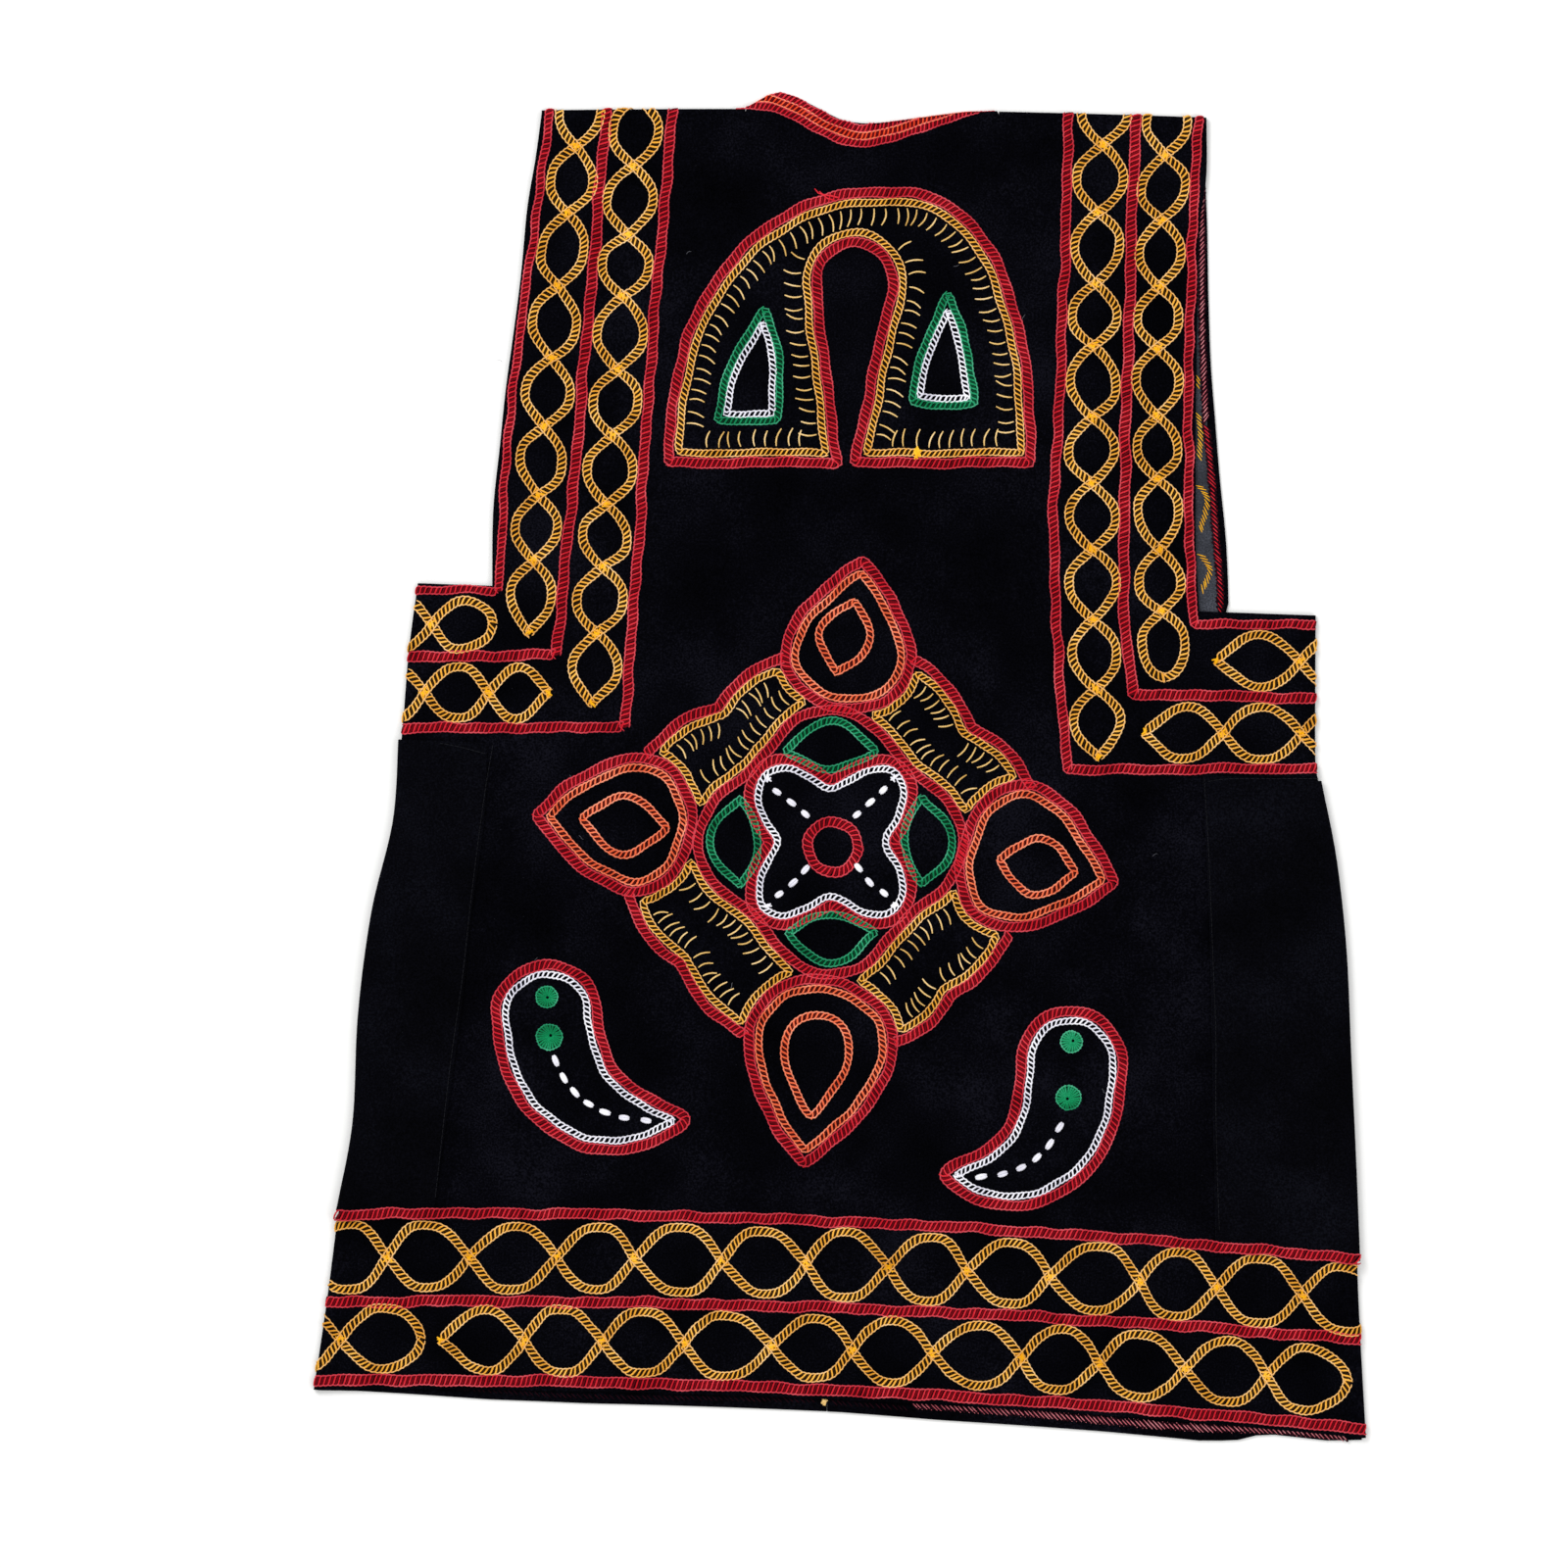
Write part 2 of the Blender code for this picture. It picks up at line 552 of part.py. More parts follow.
def figure_lines():
    """Each figure's braid by the name of its node."""
    lines = {"braid_neck": Line(NECK_WIDTH, False, "red", scooped(NECK_SCOOP))}
    lines["arch"] = Line(RED_WIDTH, True, "red", arched())
    for name, (corners, bows) in TRIANGLES.items():
        lines[name] = Line(WHITE_WIDTH, True, "green", bowed(corners, bows))
    for name, drop in PETALS.items():
        lines[name] = Line(RED_WIDTH, True, "red", dropped(drop))
    for name, (corners, bows) in LEAVES.items():
        lines[name] = Line(LEAF_WIDTH, True, "salmon", bowed(corners, bows))
    lines["leaf_bottom"] = Line(LEAF_WIDTH, True, "salmon", dropped(LEAF_BOTTOM))
    for name, corners in SCALLOPS.items():
        lines[name] = Line(RED_WIDTH, False, "red", bowed(corners, (SCALLOP_BOW,) * 2, False))
    lines["lobes"] = Line(WHITE_WIDTH, True, "red", swung(LOBES))
    lines["star"] = Line(WHITE_WIDTH, True, "white", swung(STAR))
    lines["ring"] = Line(RED_WIDTH, True, "red", swung(RING))
    for name, paisley in PAISLEYS.items():
        lines[name] = Line(RED_WIDTH, True, "red", curled(paisley))
    return lines


def hem_line(row_name, above):
    """A line that follows one row of the back across the hem."""
    row = next(row for row in SIDE_ROWS if row.name == row_name)
    xs = spaced(row.left_x + SIDE_MARGIN, row.right_x - SIDE_MARGIN, HEM_PARTS)
    return [(x, row_y(row, x) + above) for x in xs]


def crossings(name, loops):
    """Where the two strands cross, a little unevenly spaced, as handwork is."""
    dice = random.Random(name)
    first, run = Vector(loops.first), Vector(loops.last) - Vector(loops.first)
    aside = Vector((-run.y, run.x)).normalized() * loops.bow
    spots = []
    for k in range(loops.count):
        stray = dice.uniform(-UNEVEN, UNEVEN) if 0 < k < loops.count - 1 else 0
        share = (k + stray) / (loops.count - 1)
        spots.append(first + run * share + aside * 4 * share * (1 - share))
    return spots


def smooth(points, closed):
    """Points along a smooth line through the given ones, broken at corners."""
    count = len(points)
    spans = count if closed else count - 1
    result = []
    for i in range(spans):
        here, after = points[i], points[(i + 1) % count]
        before = points[i - 1] if closed or i else here
        beyond = points[(i + 2) % count] if closed or i + 2 < count else after
        p1, p2 = Vector(here[:2]), Vector(after[:2])
        p0 = p1 if len(here) > 2 else Vector(before[:2])
        p3 = p2 if len(after) > 2 else Vector(beyond[:2])
        parts = max(1, round((p2 - p1).length / (FIGURE_STEP if closed else EDGE_STEP)))
        for k in range(parts):
            t = k / parts
            result.append(0.5 * (
                2 * p1 + (p2 - p0) * t + (2 * p0 - 5 * p1 + 4 * p2 - p3) * t * t
                + (3 * p1 - p0 - 3 * p2 + p3) * t ** 3
            ))
    if not closed:
        result.append(Vector(points[-1][:2]))
    return result


def mitred(path, closed, width):
    """Left and right edge points of a strip of even width along a path."""
    edges = []
    for i, point in enumerate(path):
        before = path[i - 1] if closed or i else point
        after = path[(i + 1) % len(path)] if closed or i + 1 < len(path) else point
        into = (point - before).normalized() if point != before else (after - point).normalized()
        out = (after - point).normalized() if after != point else into
        normal = Vector((-into.y - out.y, into.x + out.x)).normalized()
        reach = min(2.2, 1 / max(0.2, normal.dot(Vector((-out.y, out.x)))))
        edges.append((point + normal * width / 2 * reach, point - normal * width / 2 * reach))
    return edges


def height_near(ground, x, y):
    """The greatest height of the ground at a point and on a small circle round it."""
    turns = [math.radians(45 * k) for k in range(8)]
    around = [(x + REACH * math.cos(t), y + REACH * math.sin(t)) for t in turns]
    hits = [ground.ray_cast(Vector((*at, 50)) * MM, Vector((0, 0, -1)))[0] for at in [(x, y), *around]]
    return max(hit.z for hit in hits if hit) / MM


def laid_on(name, ground, points, quads, finish):
    """A closed body of BRAID thickness over flat quads, following the ground under each point."""
    mesh = bmesh.new()
    layers = ([], [])
    for x, y in points:
        z = height_near(ground, x, y) + GAP
        layers[0].append(mesh.verts.new(Vector((x, y, z + BRAID)) * MM))
        layers[1].append(mesh.verts.new(Vector((x, y, z)) * MM))
    rims = {}
    for quad in quads:
        mesh.faces.new([layers[0][i] for i in quad])
        mesh.faces.new([layers[1][i] for i in reversed(quad)])
        for edge in zip(quad, quad[1:] + quad[:1]):
            key = frozenset(edge)
            rims[key] = None if key in rims else edge
    for i, j in filter(None, rims.values()):
        mesh.faces.new((layers[0][j], layers[0][i], layers[1][i], layers[1][j]))
    return finished(name, mesh, finish)


def build_braid(name, ground, line):
    path = smooth(line.points, line.closed)
    edges = mitred(path, line.closed, line.width)
    points = [point for pair in edges for point in pair]
    count = len(edges) if line.closed else len(edges) - 1
    total = len(points)
    quads = [(2 * i, 2 * i + 1, (2 * i + 3) % total, (2 * i + 2) % total) for i in range(count)]
    return laid_on(name, ground, points, quads, line.colour)


def build_loops(name, ground, loops):
    """Two strands that cross again and again: a diamond at each crossing, joined by bowed arms."""
    knots = crossings(name, loops)
    half = LOOP_WIDTH / 2
    points, quads, diamonds = [], [], []
    for i, knot in enumerate(knots):
        run = (knots[min(i + 1, len(knots) - 1)] - knots[max(i - 1, 0)]).normalized()
        across = Vector((-run.y, run.x))
        start = len(points)
        points += [knot + run * 4, knot + across * 3.2, knot - run * 4, knot - across * 3.2]
        quads.append((start, start + 1, start + 2, start + 3))
        diamonds.append((start, run, across))

    def arm(begin, finish, first, last, sign, shares):
        """Quads from one diamond's side to the next one's, or to a free end."""
        run = finish - begin
        across = Vector((-run.y, run.x)).normalized() * sign
        previous = first
        for share in shares:
            bulge = math.sin(math.pi * share) ** 0.7
            inside = begin + run * share * 0.86 + run * 0.07 + across * (loops.half_height - half) * bulge
            outside = begin + run * share + across * (3.2 + (loops.half_height + half - 3.2) * bulge)
            points.extend((inside, outside))
            pair = (len(points) - 2, len(points) - 1)
            quads.append((*previous, *pair[::-1]))
            previous = pair
        if last:
            quads.append((*previous, *last[::-1]))

    for i in range(len(knots) - 1):
        here, there = diamonds[i][0], diamonds[i + 1][0]
        for sign, side in ((1, 1), (-1, 3)):
            arm(knots[i], knots[i + 1], (here, here + side), (there + 2, there + side), sign,
                (0.25, 0.5, 0.75))
    for reach, at, inner in ((loops.runs_before, 0, 2), (loops.runs_after, len(knots) - 1, 0)):
        if not reach:
            continue
        start, inward, _ = diamonds[at]
        outward = -inward if at == 0 else inward
        shares = [reach / LOOP_LENGTH * part for part in (0.5, 1)]
        for side in (1, 3):
            sign = 1 if (side == 1) == (at != 0) else -1
            tip = knots[at] + outward * LOOP_LENGTH
            arm(knots[at], tip, (start + inner, start + side), None, sign, shares)
    return laid_on(name, ground, points, quads, "yellow")


def main():
    back = build_back()
    for side in ("left", "right"):
        build_front(side)
        build_pocket(side)
    ground = BVHTree.FromObject(back, bpy.context.evaluated_depsgraph_get())
    for name, (row_name, above) in HEM_BRAIDS.items():
        build_braid(name, ground, Line(RED_WIDTH, False, "red", hem_line(row_name, above)))
    for name, points in EDGE_BRAIDS.items():
        build_braid(name, ground, Line(RED_WIDTH, False, "red", points))
    for name, loops in LOOPS.items():
        build_loops(name, ground, loops)
    for name, line in figure_lines().items():
        build_braid(name, ground, line)


main()
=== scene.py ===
# A black velvet vest worked in laced wool yarn, laid flat with its back up.
# Tables are in millimetres from the middle of the laid vest: x to the right, y to the collar.
import math
import random
from collections import namedtuple

import bmesh
import bpy
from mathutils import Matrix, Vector, kdtree


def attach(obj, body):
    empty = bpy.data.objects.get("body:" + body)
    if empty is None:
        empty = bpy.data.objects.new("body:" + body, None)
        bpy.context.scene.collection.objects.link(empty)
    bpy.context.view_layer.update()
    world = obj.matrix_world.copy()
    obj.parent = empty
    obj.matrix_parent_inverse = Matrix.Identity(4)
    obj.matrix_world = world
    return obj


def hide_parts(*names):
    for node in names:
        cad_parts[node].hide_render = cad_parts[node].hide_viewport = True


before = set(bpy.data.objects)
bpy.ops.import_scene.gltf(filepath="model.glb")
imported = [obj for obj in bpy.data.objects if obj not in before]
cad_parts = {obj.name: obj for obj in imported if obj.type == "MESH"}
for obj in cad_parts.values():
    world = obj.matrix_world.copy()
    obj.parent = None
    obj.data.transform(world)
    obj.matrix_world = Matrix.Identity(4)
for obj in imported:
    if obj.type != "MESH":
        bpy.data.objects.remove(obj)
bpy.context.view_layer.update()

mm = 0.001


def mix(a, b, share):
    return a + (b - a) * share


def smoothStep(share):
    share = min(1.0, max(0.0, share))
    return share * share * (3 - 2 * share)


def tableOf(columns, *rows):
    row = namedtuple("Row", columns)
    return [row(*values) for values in rows]


def valueAt(pairs, x):  # straight between the pairs, which rise in x
    for (x1, v1), (x2, v2) in zip(pairs, pairs[1:]):
        if x <= x2:
            return mix(v1, v2, max(0.0, (x - x1) / (x2 - x1)))
    return pairs[-1][1]


def curveThrough(p0, p1, p2, p3, t):
    return 0.5 * (
        2 * p1 + (p2 - p0) * t + (2 * p0 - 5 * p1 + 4 * p2 - p3) * t * t
        + (3 * p1 - p0 - 3 * p2 + p3) * t ** 3
    )


# Finishes

def linearColour(code):
    parts = [int(code[i:i + 2], 16) / 255 for i in (1, 3, 5)]
    return (*[c / 12.92 if c <= 0.04045 else ((c + 0.055) / 1.055) ** 2.4 for c in parts], 1)


def addNode(tree, kind, inputs=(), **settings):
    made = tree.nodes.new(kind)
    for key, value in settings.items():
        setattr(made, key, value)
    for key, value in dict(inputs).items():
        if isinstance(value, bpy.types.NodeSocket):
            tree.links.new(value, made.inputs[key])
        else:
            made.inputs[key].default_value = value
    return made


def newFinish(name, surface):
    finish = bpy.data.materials.new(name)
    finish.use_nodes = True
    shader = finish.node_tree.nodes["Principled BSDF"]
    for socket, value in surface.items():
        shader.inputs[socket].default_value = value
    return finish, finish.node_tree, shader


def grained(name, surface, fine, coarse, stops, relief):
    # A finish whose colour follows a fine grain times a coarse drift, each given as its size in
    # millimetres, detail and roughness. The grain also stands up a little.
    finish, tree, shader = newFinish(name, surface)
    at = addNode(tree, "ShaderNodeTexCoord").outputs["Object"]
    grain, drift = [
        addNode(tree, "ShaderNodeTexNoise", {
            "Vector": at, "Scale": 1000 / size, "Detail": detail, "Roughness": roughness}).outputs["Fac"]
        for size, detail, roughness in (fine, coarse)]
    blend = addNode(tree, "ShaderNodeMath", {0: drift, 1: grain}, operation="MULTIPLY")
    colour = addNode(tree, "ShaderNodeValToRGB", {"Fac": blend.outputs[0]})
    band = colour.color_ramp.elements
    while len(band) < len(stops):
        band.new(0.5)
    for element, (place, code) in zip(band, stops):
        element.position = place
        element.color = linearColour(code)
    bump = addNode(tree, "ShaderNodeBump", {
        "Height": grain, "Strength": relief[0], "Distance": relief[1] * mm})
    tree.links.new(colour.outputs["Color"], shader.inputs["Base Color"])
    tree.links.new(bump.outputs["Normal"], shader.inputs["Normal"])
    return finish, tree, shader, at, colour.outputs["Color"]


velvetLook = {
    "patch": 70.0, "pile": 1.1, "relief": 0.12, "sheenColour": "#7c7f9a",
    "fleck": 3.2, "fleckReach": 0.045, "fleckShare": 0.07, "fleckColour": "#2c2d33",
}


def velvet(name, deep, mid, pale, sheen):
    # Cotton velvet with a short cut pile: swallows light, with faint paler drifts where the pile
    # leans, a fine grain and a few specks of dust. The pile is drawn about three times too coarse.
    surface = {"Roughness": 0.95, "Specular IOR Level": 0.01, "Sheen Weight": sheen, "Sheen Roughness": 0.25,
               "Sheen Tint": linearColour(velvetLook["sheenColour"])}
    finish, tree, shader, at, colour = grained(
        name, surface, (velvetLook["pile"], 2, 0.6), (velvetLook["patch"], 5, 0.6),
        ((0.12, deep), (0.27, mid), (0.42, pale)), (velvetLook["relief"], 0.5))
    fleck = addNode(tree, "ShaderNodeTexVoronoi", {"Vector": at, "Scale": 1000 / velvetLook["fleck"]})
    near = addNode(tree, "ShaderNodeMath", {
        0: fleck.outputs["Distance"], 1: velvetLook["fleckReach"]}, operation="LESS_THAN")
    cell = addNode(tree, "ShaderNodeSeparateColor", {"Color": fleck.outputs["Color"]})
    chosen = addNode(tree, "ShaderNodeMath", {
        0: cell.outputs[0], 1: 1 - velvetLook["fleckShare"]}, operation="GREATER_THAN")
    dusty = addNode(tree, "ShaderNodeMath", {0: near.outputs[0], 1: chosen.outputs[0]}, operation="MULTIPLY")
    dust = addNode(tree, "ShaderNodeMix", {
        0: dusty.outputs[0], 6: colour, 7: linearColour(velvetLook["fleckColour"])}, data_type="RGBA")
    tree.links.new(dust.outputs[2], shader.inputs["Base Color"])
    return finish


def wovenBack(name):
    # The wrong side of velvet: a plain grey-black woven ground, dull, with a fine weave.
    surface = {"Roughness": 0.9, "Specular IOR Level": 0.1}
    stops = ((0.1, "#1f2125"), (0.27, "#35373e"), (0.45, "#4f525b"))
    return grained(name, surface, (0.8, 1, 0.5), (25, 3, 0.5), stops, (0.25, 0.4))[0]


def wool(name, dark, main, light, sheen=0.04):
    # Acrylic-wool yarn, loosely twisted: matt and a little fuzzy. Its colour follows the grain that raises
    # its bumps: a painted highlight on the crest of each turn, and painted shade between.
    # The twist is drawn about twice too coarse.
    surface = {"Roughness": 0.85, "Specular IOR Level": 0.06, "Sheen Weight": sheen, "Sheen Roughness": 0.5}
    stops = ((0.1, dark), (0.25, main), (0.42, light))
    return grained(name, surface, (0.7, 2, 0.7), (14, 1, 0.5), stops, (0.35, 0.3))[0]


blackVelvet = velvet("blackVelvet", "#010102", "#050509", "#111119", 0.12)
pocketVelvet = velvet("pocketVelvet", "#020203", "#06060a", "#0e0f16", 0.14)
greyBack = wovenBack("velvetWrongSide")
redWool = wool("redWool", "#b40c1c", "#cc1c2c", "#de3a46")
# Paler copy of the red yarn, for the rails of the red rows: a painted highlight.
redWoolPale = wool("redWoolPale", "#b02434", "#ca3c4a", "#d85c66")
# Dark copy of the red yarn, for the fill between the rungs of the red and orange rows: painted shade.
redWoolDeep = wool("redWoolDeep", "#46020a", "#640612", "#820c18", 0)
redWoolReverse = wool("redWoolReverse", "#a04450", "#c86a74", "#dc949a", 0)
# Dark maroon strands of painted shade, laid under and between the reverse stitches, and for the dim strokes
# where the hem lies in shadow.
maroonShade = wool("maroonShade", "#12020a", "#20040e", "#2e0814", 0)
orangeWool = wool("orangeWool", "#c42410", "#e0401e", "#f46a44")
goldWool = wool("goldWool", "#cc8822", "#eeaa38", "#fac45e")
# Paler copy of the gold yarn, for the rails of the gold rows: a painted highlight.
goldWoolPale = wool("goldWoolPale", "#d89c50", "#eeb86e", "#f6d09c")
goldWoolBright = wool("goldWoolBright", "#dc9808", "#f6b414", "#ffc83a")
# Dark copy of the gold yarn, for the fill between the rungs of the gold rows: painted shade.
goldShade = wool("goldShade", "#1e1002", "#342004", "#4c300a", 0)
creamWool = wool("creamWool", "#c2964c", "#e6c078", "#f4d6a4")
salmonWool = wool("salmonWool", "#c44020", "#e8663c", "#f48460")
# Paler copy of the salmon yarn, for the rails of the salmon and orange rows: a painted highlight.
salmonWoolPale = wool("salmonWoolPale", "#d86444", "#f08866", "#f8a688")
# Dark copy of the salmon yarn, for the fill between the rungs of the salmon rows: painted shade.
salmonShade = wool("salmonShade", "#3c0a08", "#5a120e", "#741c14", 0)
greenWool = wool("greenWool", "#046038", "#0a8450", "#2c9e70")
# Paler copy of the green yarn, for the rails of the green rows and the rims of the wheels: a painted
# highlight.
greenWoolPale = wool("greenWoolPale", "#187c54", "#349c72", "#5cb894")
# Dark copy of the green yarn, for the fill between the rungs of the green rows: painted shade.
greenWoolDeep = wool("greenWoolDeep", "#022012", "#053a22", "#085436", 0)
whiteWool = wool("whiteWool", "#cccad8", "#ecebf4", "#fafafe")
blackThread = wool("blackThread", "#101115", "#17181d", "#202127")
lintFibre = wool("lintFibre", "#4c4d55", "#6a6b73", "#8a8b92")
print("finishes made")


# Form of the laid cloth

cloth = {
    "wall": 1.5, "gap": 0.3, "roll": 2.0,  # cloth, space between layers, radius of a turned edge
    "edge": 0.45, "edgeTurn": 55,  # how much a cut edge is rounded, and what counts as one
    "face": 3.3, "foldFace": 4.0,  # height of the back's face, and along its folds
    "pocketLayer": 1.8, "ramp": 10.0, "step": 6.5,
    "foldReach": 3.9,  # how far past the start of a fold a stitch may run
    "neckDrop": 1.2, "neckLip": 0.5,  # how far a stitch at the neck edge sinks, and from where
    "underarmLip": 2,  # a stitch this far over the underarm edge still turns round the side
    "crownReach": 9, "sag": 1.2, "sagReach": 15,  # the swelling along a fold, the sinking at the neck
    "neckSoft": 10, "sideSoft": 40, "topSoft": 30, "topRoom": 4,  # where these fade out
    "neckRows": 1.5,  # how many rows down the neck opening still shapes the back
}
armholeRows = tableOf(
    "leftX leftY rightX rightY bow",
    (-166, 365.3, 204, 361.3, 2.4), (-169.5, 338, 204, 329, 0.6), (-174, 311, 200, 299, 0),
    (-177.5, 274, 199, 260, 0), (-182, 239, 198.5, 224, 0), (-186, 210, 198, 193, 0),
    (-189.3, 178, 198, 161, 0), (-193, 142, 198, 124, 0), (-193.5, 100.5, 200, 86.3, 0))
sideRows = tableOf(
    "leftX leftY seamLeft seamRight rightX rightY bow",
    (-235, 102, -193.5, 200, 265, 84, 0), (-240, 65, -194, 201, 264.8, 46, 0),
    (-243, 27, -195, 202, 264.8, 4, 1), (-244, 15, -196, 202, 266.2, -8, 1),
    (-247, -30, -198, 204, 274.6, -51, 2), (-259, -81, -205, 206, 280.2, -102, 3),
    (-266.5, -138, -211, 207, 282.8, -160, 5), (-269.4, -197, -219, 208, 285.6, -220, 6),
    (-277.3, -240.5, -225, 209, 287.6, -270, 8), (-280, -254, -226, 210, 288, -279, 8),
    (-286, -300, -227, 211, 290, -321, 7), (-293, -347, -228, 212, 293, -374, 8))
neckEdge = ((-56, 366), (-50, 367.5), (-40, 373.5), (-33, 375.3), (-24, 372.5), (-12, 366.5), (0, 360),
            (10, 358), (22, 358), (36, 359.8), (52, 362), (70, 364.3), (88, 364.7))
neckStart, neckEnd = -52, 88
riseColumns = "x1 y1 x2 y2 height width"
rises = tableOf(  # soft ridges where the cloth doesn't lie quite flat
    riseColumns,
    (-70, 350, -95, 120, 1.6, 38), (90, 340, 150, 150, 1.3, 36), (-60, 130, 60, 150, 1.2, 40),
    (-150, -20, -60, -240, 1.5, 42), (50, -100, 190, -230, 1.8, 40),
    (-110, -300, 60, -330, 1.2, 36), (110, 60, 120, -60, 1.4, 38),
    (185, -205, 222, -250, 0.8, 9), (60, 335, 140, 300, 0.5, 12), (-30, 150, 90, 138, 0.5, 10),
    (-185, -60, -170, -230, 0.6, 12), (165, 10, 190, -160, 0.6, 13), (-60, -236, 40, -243, 0.4, 9))


def rowBetween(rows, t):
    i = min(int(t), len(rows) - 2)
    around = [rows[min(max(i + k, 0), len(rows) - 1)] for k in (-1, 0, 1, 2)]
    return type(rows[0])(*[curveThrough(*values, t - i) for values in zip(*around)])


def rowY(row, x):
    share = (x - row.leftX) / (row.rightX - row.leftX)
    return mix(row.leftY, row.rightY, share) + row.bow * 4 * share * (1 - share)


def edgeTable(xName, yName):
    return tuple((getattr(row, yName), getattr(row, xName)) for row in reversed(sideRows))


# Counted in rows: the pocket's foot lies under the top red row of the hem, and the sides are flat
# again a little below it.
pocketReach, flatAgain = 8.5, 9.4
abovePocket, pocketMouth = sideRows[2:4]
belowPocket = rowBetween(sideRows, flatAgain)
pocketFoot = rowBetween(sideRows, pocketReach)
foldTables = edgeTable("leftX", "leftY"), edgeTable("rightX", "rightY")
seamTables = edgeTable("seamLeft", "leftY"), edgeTable("seamRight", "rightY")


def underarmY(x):
    return rowY(sideRows[0], x)


def shoulderY(x):
    return rowY(armholeRows[0], x)


def pocketLift(x, y):  # how far the pocket that passes under the sides lifts them
    seams = valueAt(seamTables[0], y), valueAt(seamTables[1], y)
    beside = max(smoothStep((seams[0] + cloth["ramp"] - x) / cloth["ramp"]),
                 smoothStep((x - seams[1] + cloth["ramp"]) / cloth["ramp"]))
    above, mouth = rowY(abovePocket, x), rowY(pocketMouth, x)
    foot, below = rowY(pocketFoot, x), rowY(belowPocket, x)
    along = smoothStep((above - y) / (above - mouth)) * smoothStep((y - below) / (foot - below))
    return cloth["pocketLayer"] * beside * along


def softRise(table, x, y):  # the height of the ridges in a table, each along a line
    total = 0.0
    for rise in table:
        runX, runY = rise.x2 - rise.x1, rise.y2 - rise.y1
        share = ((x - rise.x1) * runX + (y - rise.y1) * runY) / (runX * runX + runY * runY)
        share = min(1.0, max(0.0, share))
        off = math.hypot(x - rise.x1 - runX * share, y - rise.y1 - runY * share) / rise.width
        total += rise.height * math.exp(-off * off)
    return total


def backFace(x, y):  # height of the back's outer face
    left = x - valueAt(foldTables[0], y) - cloth["roll"]
    right = valueAt(foldTables[1], y) - cloth["roll"] - x
    side = min(left, right)
    top = shoulderY(x) - cloth["roll"] - y
    inNeck = smoothStep((x - neckStart) / cloth["neckSoft"]) * smoothStep((neckEnd - x) / cloth["neckSoft"])
    crown = (math.exp(-(max(0, side) / cloth["crownReach"]) ** 2)
             + (1 - inNeck) * math.exp(-(max(0, top) / cloth["crownReach"]) ** 2))
    sag = inNeck * cloth["sag"] * math.exp(-max(0, top) / cloth["sagReach"])
    lift = pocketLift(x, y)
    rise = softRise(rises, x, y) * smoothStep(side / cloth["sideSoft"])
    rise *= smoothStep((top + cloth["topRoom"]) / cloth["topSoft"])
    rise *= 1 - lift / cloth["pocketLayer"]
    return cloth["face"] + (cloth["foldFace"] - cloth["face"]) * crown - sag + lift + rise


def onBack(x, y, up):  # a point over the back, which runs on round a fold past its edge
    roll = cloth["roll"]
    if y < underarmY(x) + cloth["underarmLip"]:
        for fold, inward in ((valueAt(foldTables[0], y), 1), (valueAt(foldTables[1], y), -1)):
            middle = fold + inward * roll
            if (middle - x) * inward > 0:
                turn = abs(middle - x) / roll
                across = middle - inward * (roll + up) * math.sin(turn)
                return (across, y, pocketLift(middle, y) + roll + (roll + up) * math.cos(turn))
    middle = shoulderY(x) - roll
    if y > middle and not neckStart < x < neckEnd:
        turn = (y - middle) / roll
        return (x, middle + (roll + up) * math.sin(turn), roll + (roll + up) * math.cos(turn))
    edge = valueAt(neckEdge, x) - cloth["neckLip"]
    if neckStart < x < neckEnd and y > edge:
        return (x, edge + up, backFace(x, edge) - min(y - edge, cloth["neckDrop"]))
    return (x, y, backFace(x, y) + up)


def pastFold(x, y):  # how far a point lies past the start of a fold
    past = 0
    if y < underarmY(x) + cloth["underarmLip"]:
        past = max(valueAt(foldTables[0], y) - x, x - valueAt(foldTables[1], y)) + cloth["roll"]
    if not neckStart < x < neckEnd:
        past = max(past, y - shoulderY(x) + cloth["roll"])
    return past


# Panels

def tidyObject(name, mesh, finishes):
    data = bpy.data.meshes.new(name)
    mesh.to_mesh(data)
    mesh.free()
    for finish in finishes:
        data.materials.append(finish)
    data.shade_smooth()
    made = bpy.data.objects.new(name, data)
    bpy.context.collection.objects.link(made)
    return made


def clothSheet(name, columns, rows, placeOf, finishes, finishAt=None):
    # A grid whose points are put in place one by one; those with no place are cut away.
    mesh = bmesh.new()
    across = len(columns)
    bmesh.ops.create_grid(mesh, x_segments=across - 1, y_segments=len(rows) - 1, size=1)
    away = []
    for i, vert in enumerate(mesh.verts):
        spot = placeOf(columns[i % across], rows[i // across])
        if spot is None:
            away.append(vert)
        else:
            vert.co = Vector(spot) * mm
    bmesh.ops.delete(mesh, geom=away, context="VERTS")
    mesh.normal_update()
    if max(mesh.faces, key=lambda face: face.calc_center_median().z).normal.z < 0:
        bmesh.ops.reverse_faces(mesh, faces=mesh.faces)
    if finishAt:
        for face in mesh.faces:
            face.material_index = finishAt(face.calc_center_median() / mm)
    made = tidyObject(name, mesh, finishes)
    wall = made.modifiers.new("wall", "SOLIDIFY")
    wall.thickness = cloth["wall"] * mm
    wall.offset = -1
    wall.material_offset = 1  # the finish of the other side comes next in the list
    edge = made.modifiers.new("softEdge", "BEVEL")
    edge.affect = "EDGES"
    edge.width = cloth["edge"] * mm
    edge.segments = 2
    edge.profile = 0.5
    edge.material = -1
    edge.limit_method = "ANGLE"
    edge.angle_limit = math.radians(cloth["edgeTurn"])
    return made


def evenly(start, end, step):
    count = max(1, round(abs(end - start) / step))
    return [mix(start, end, k / count) for k in range(count + 1)]


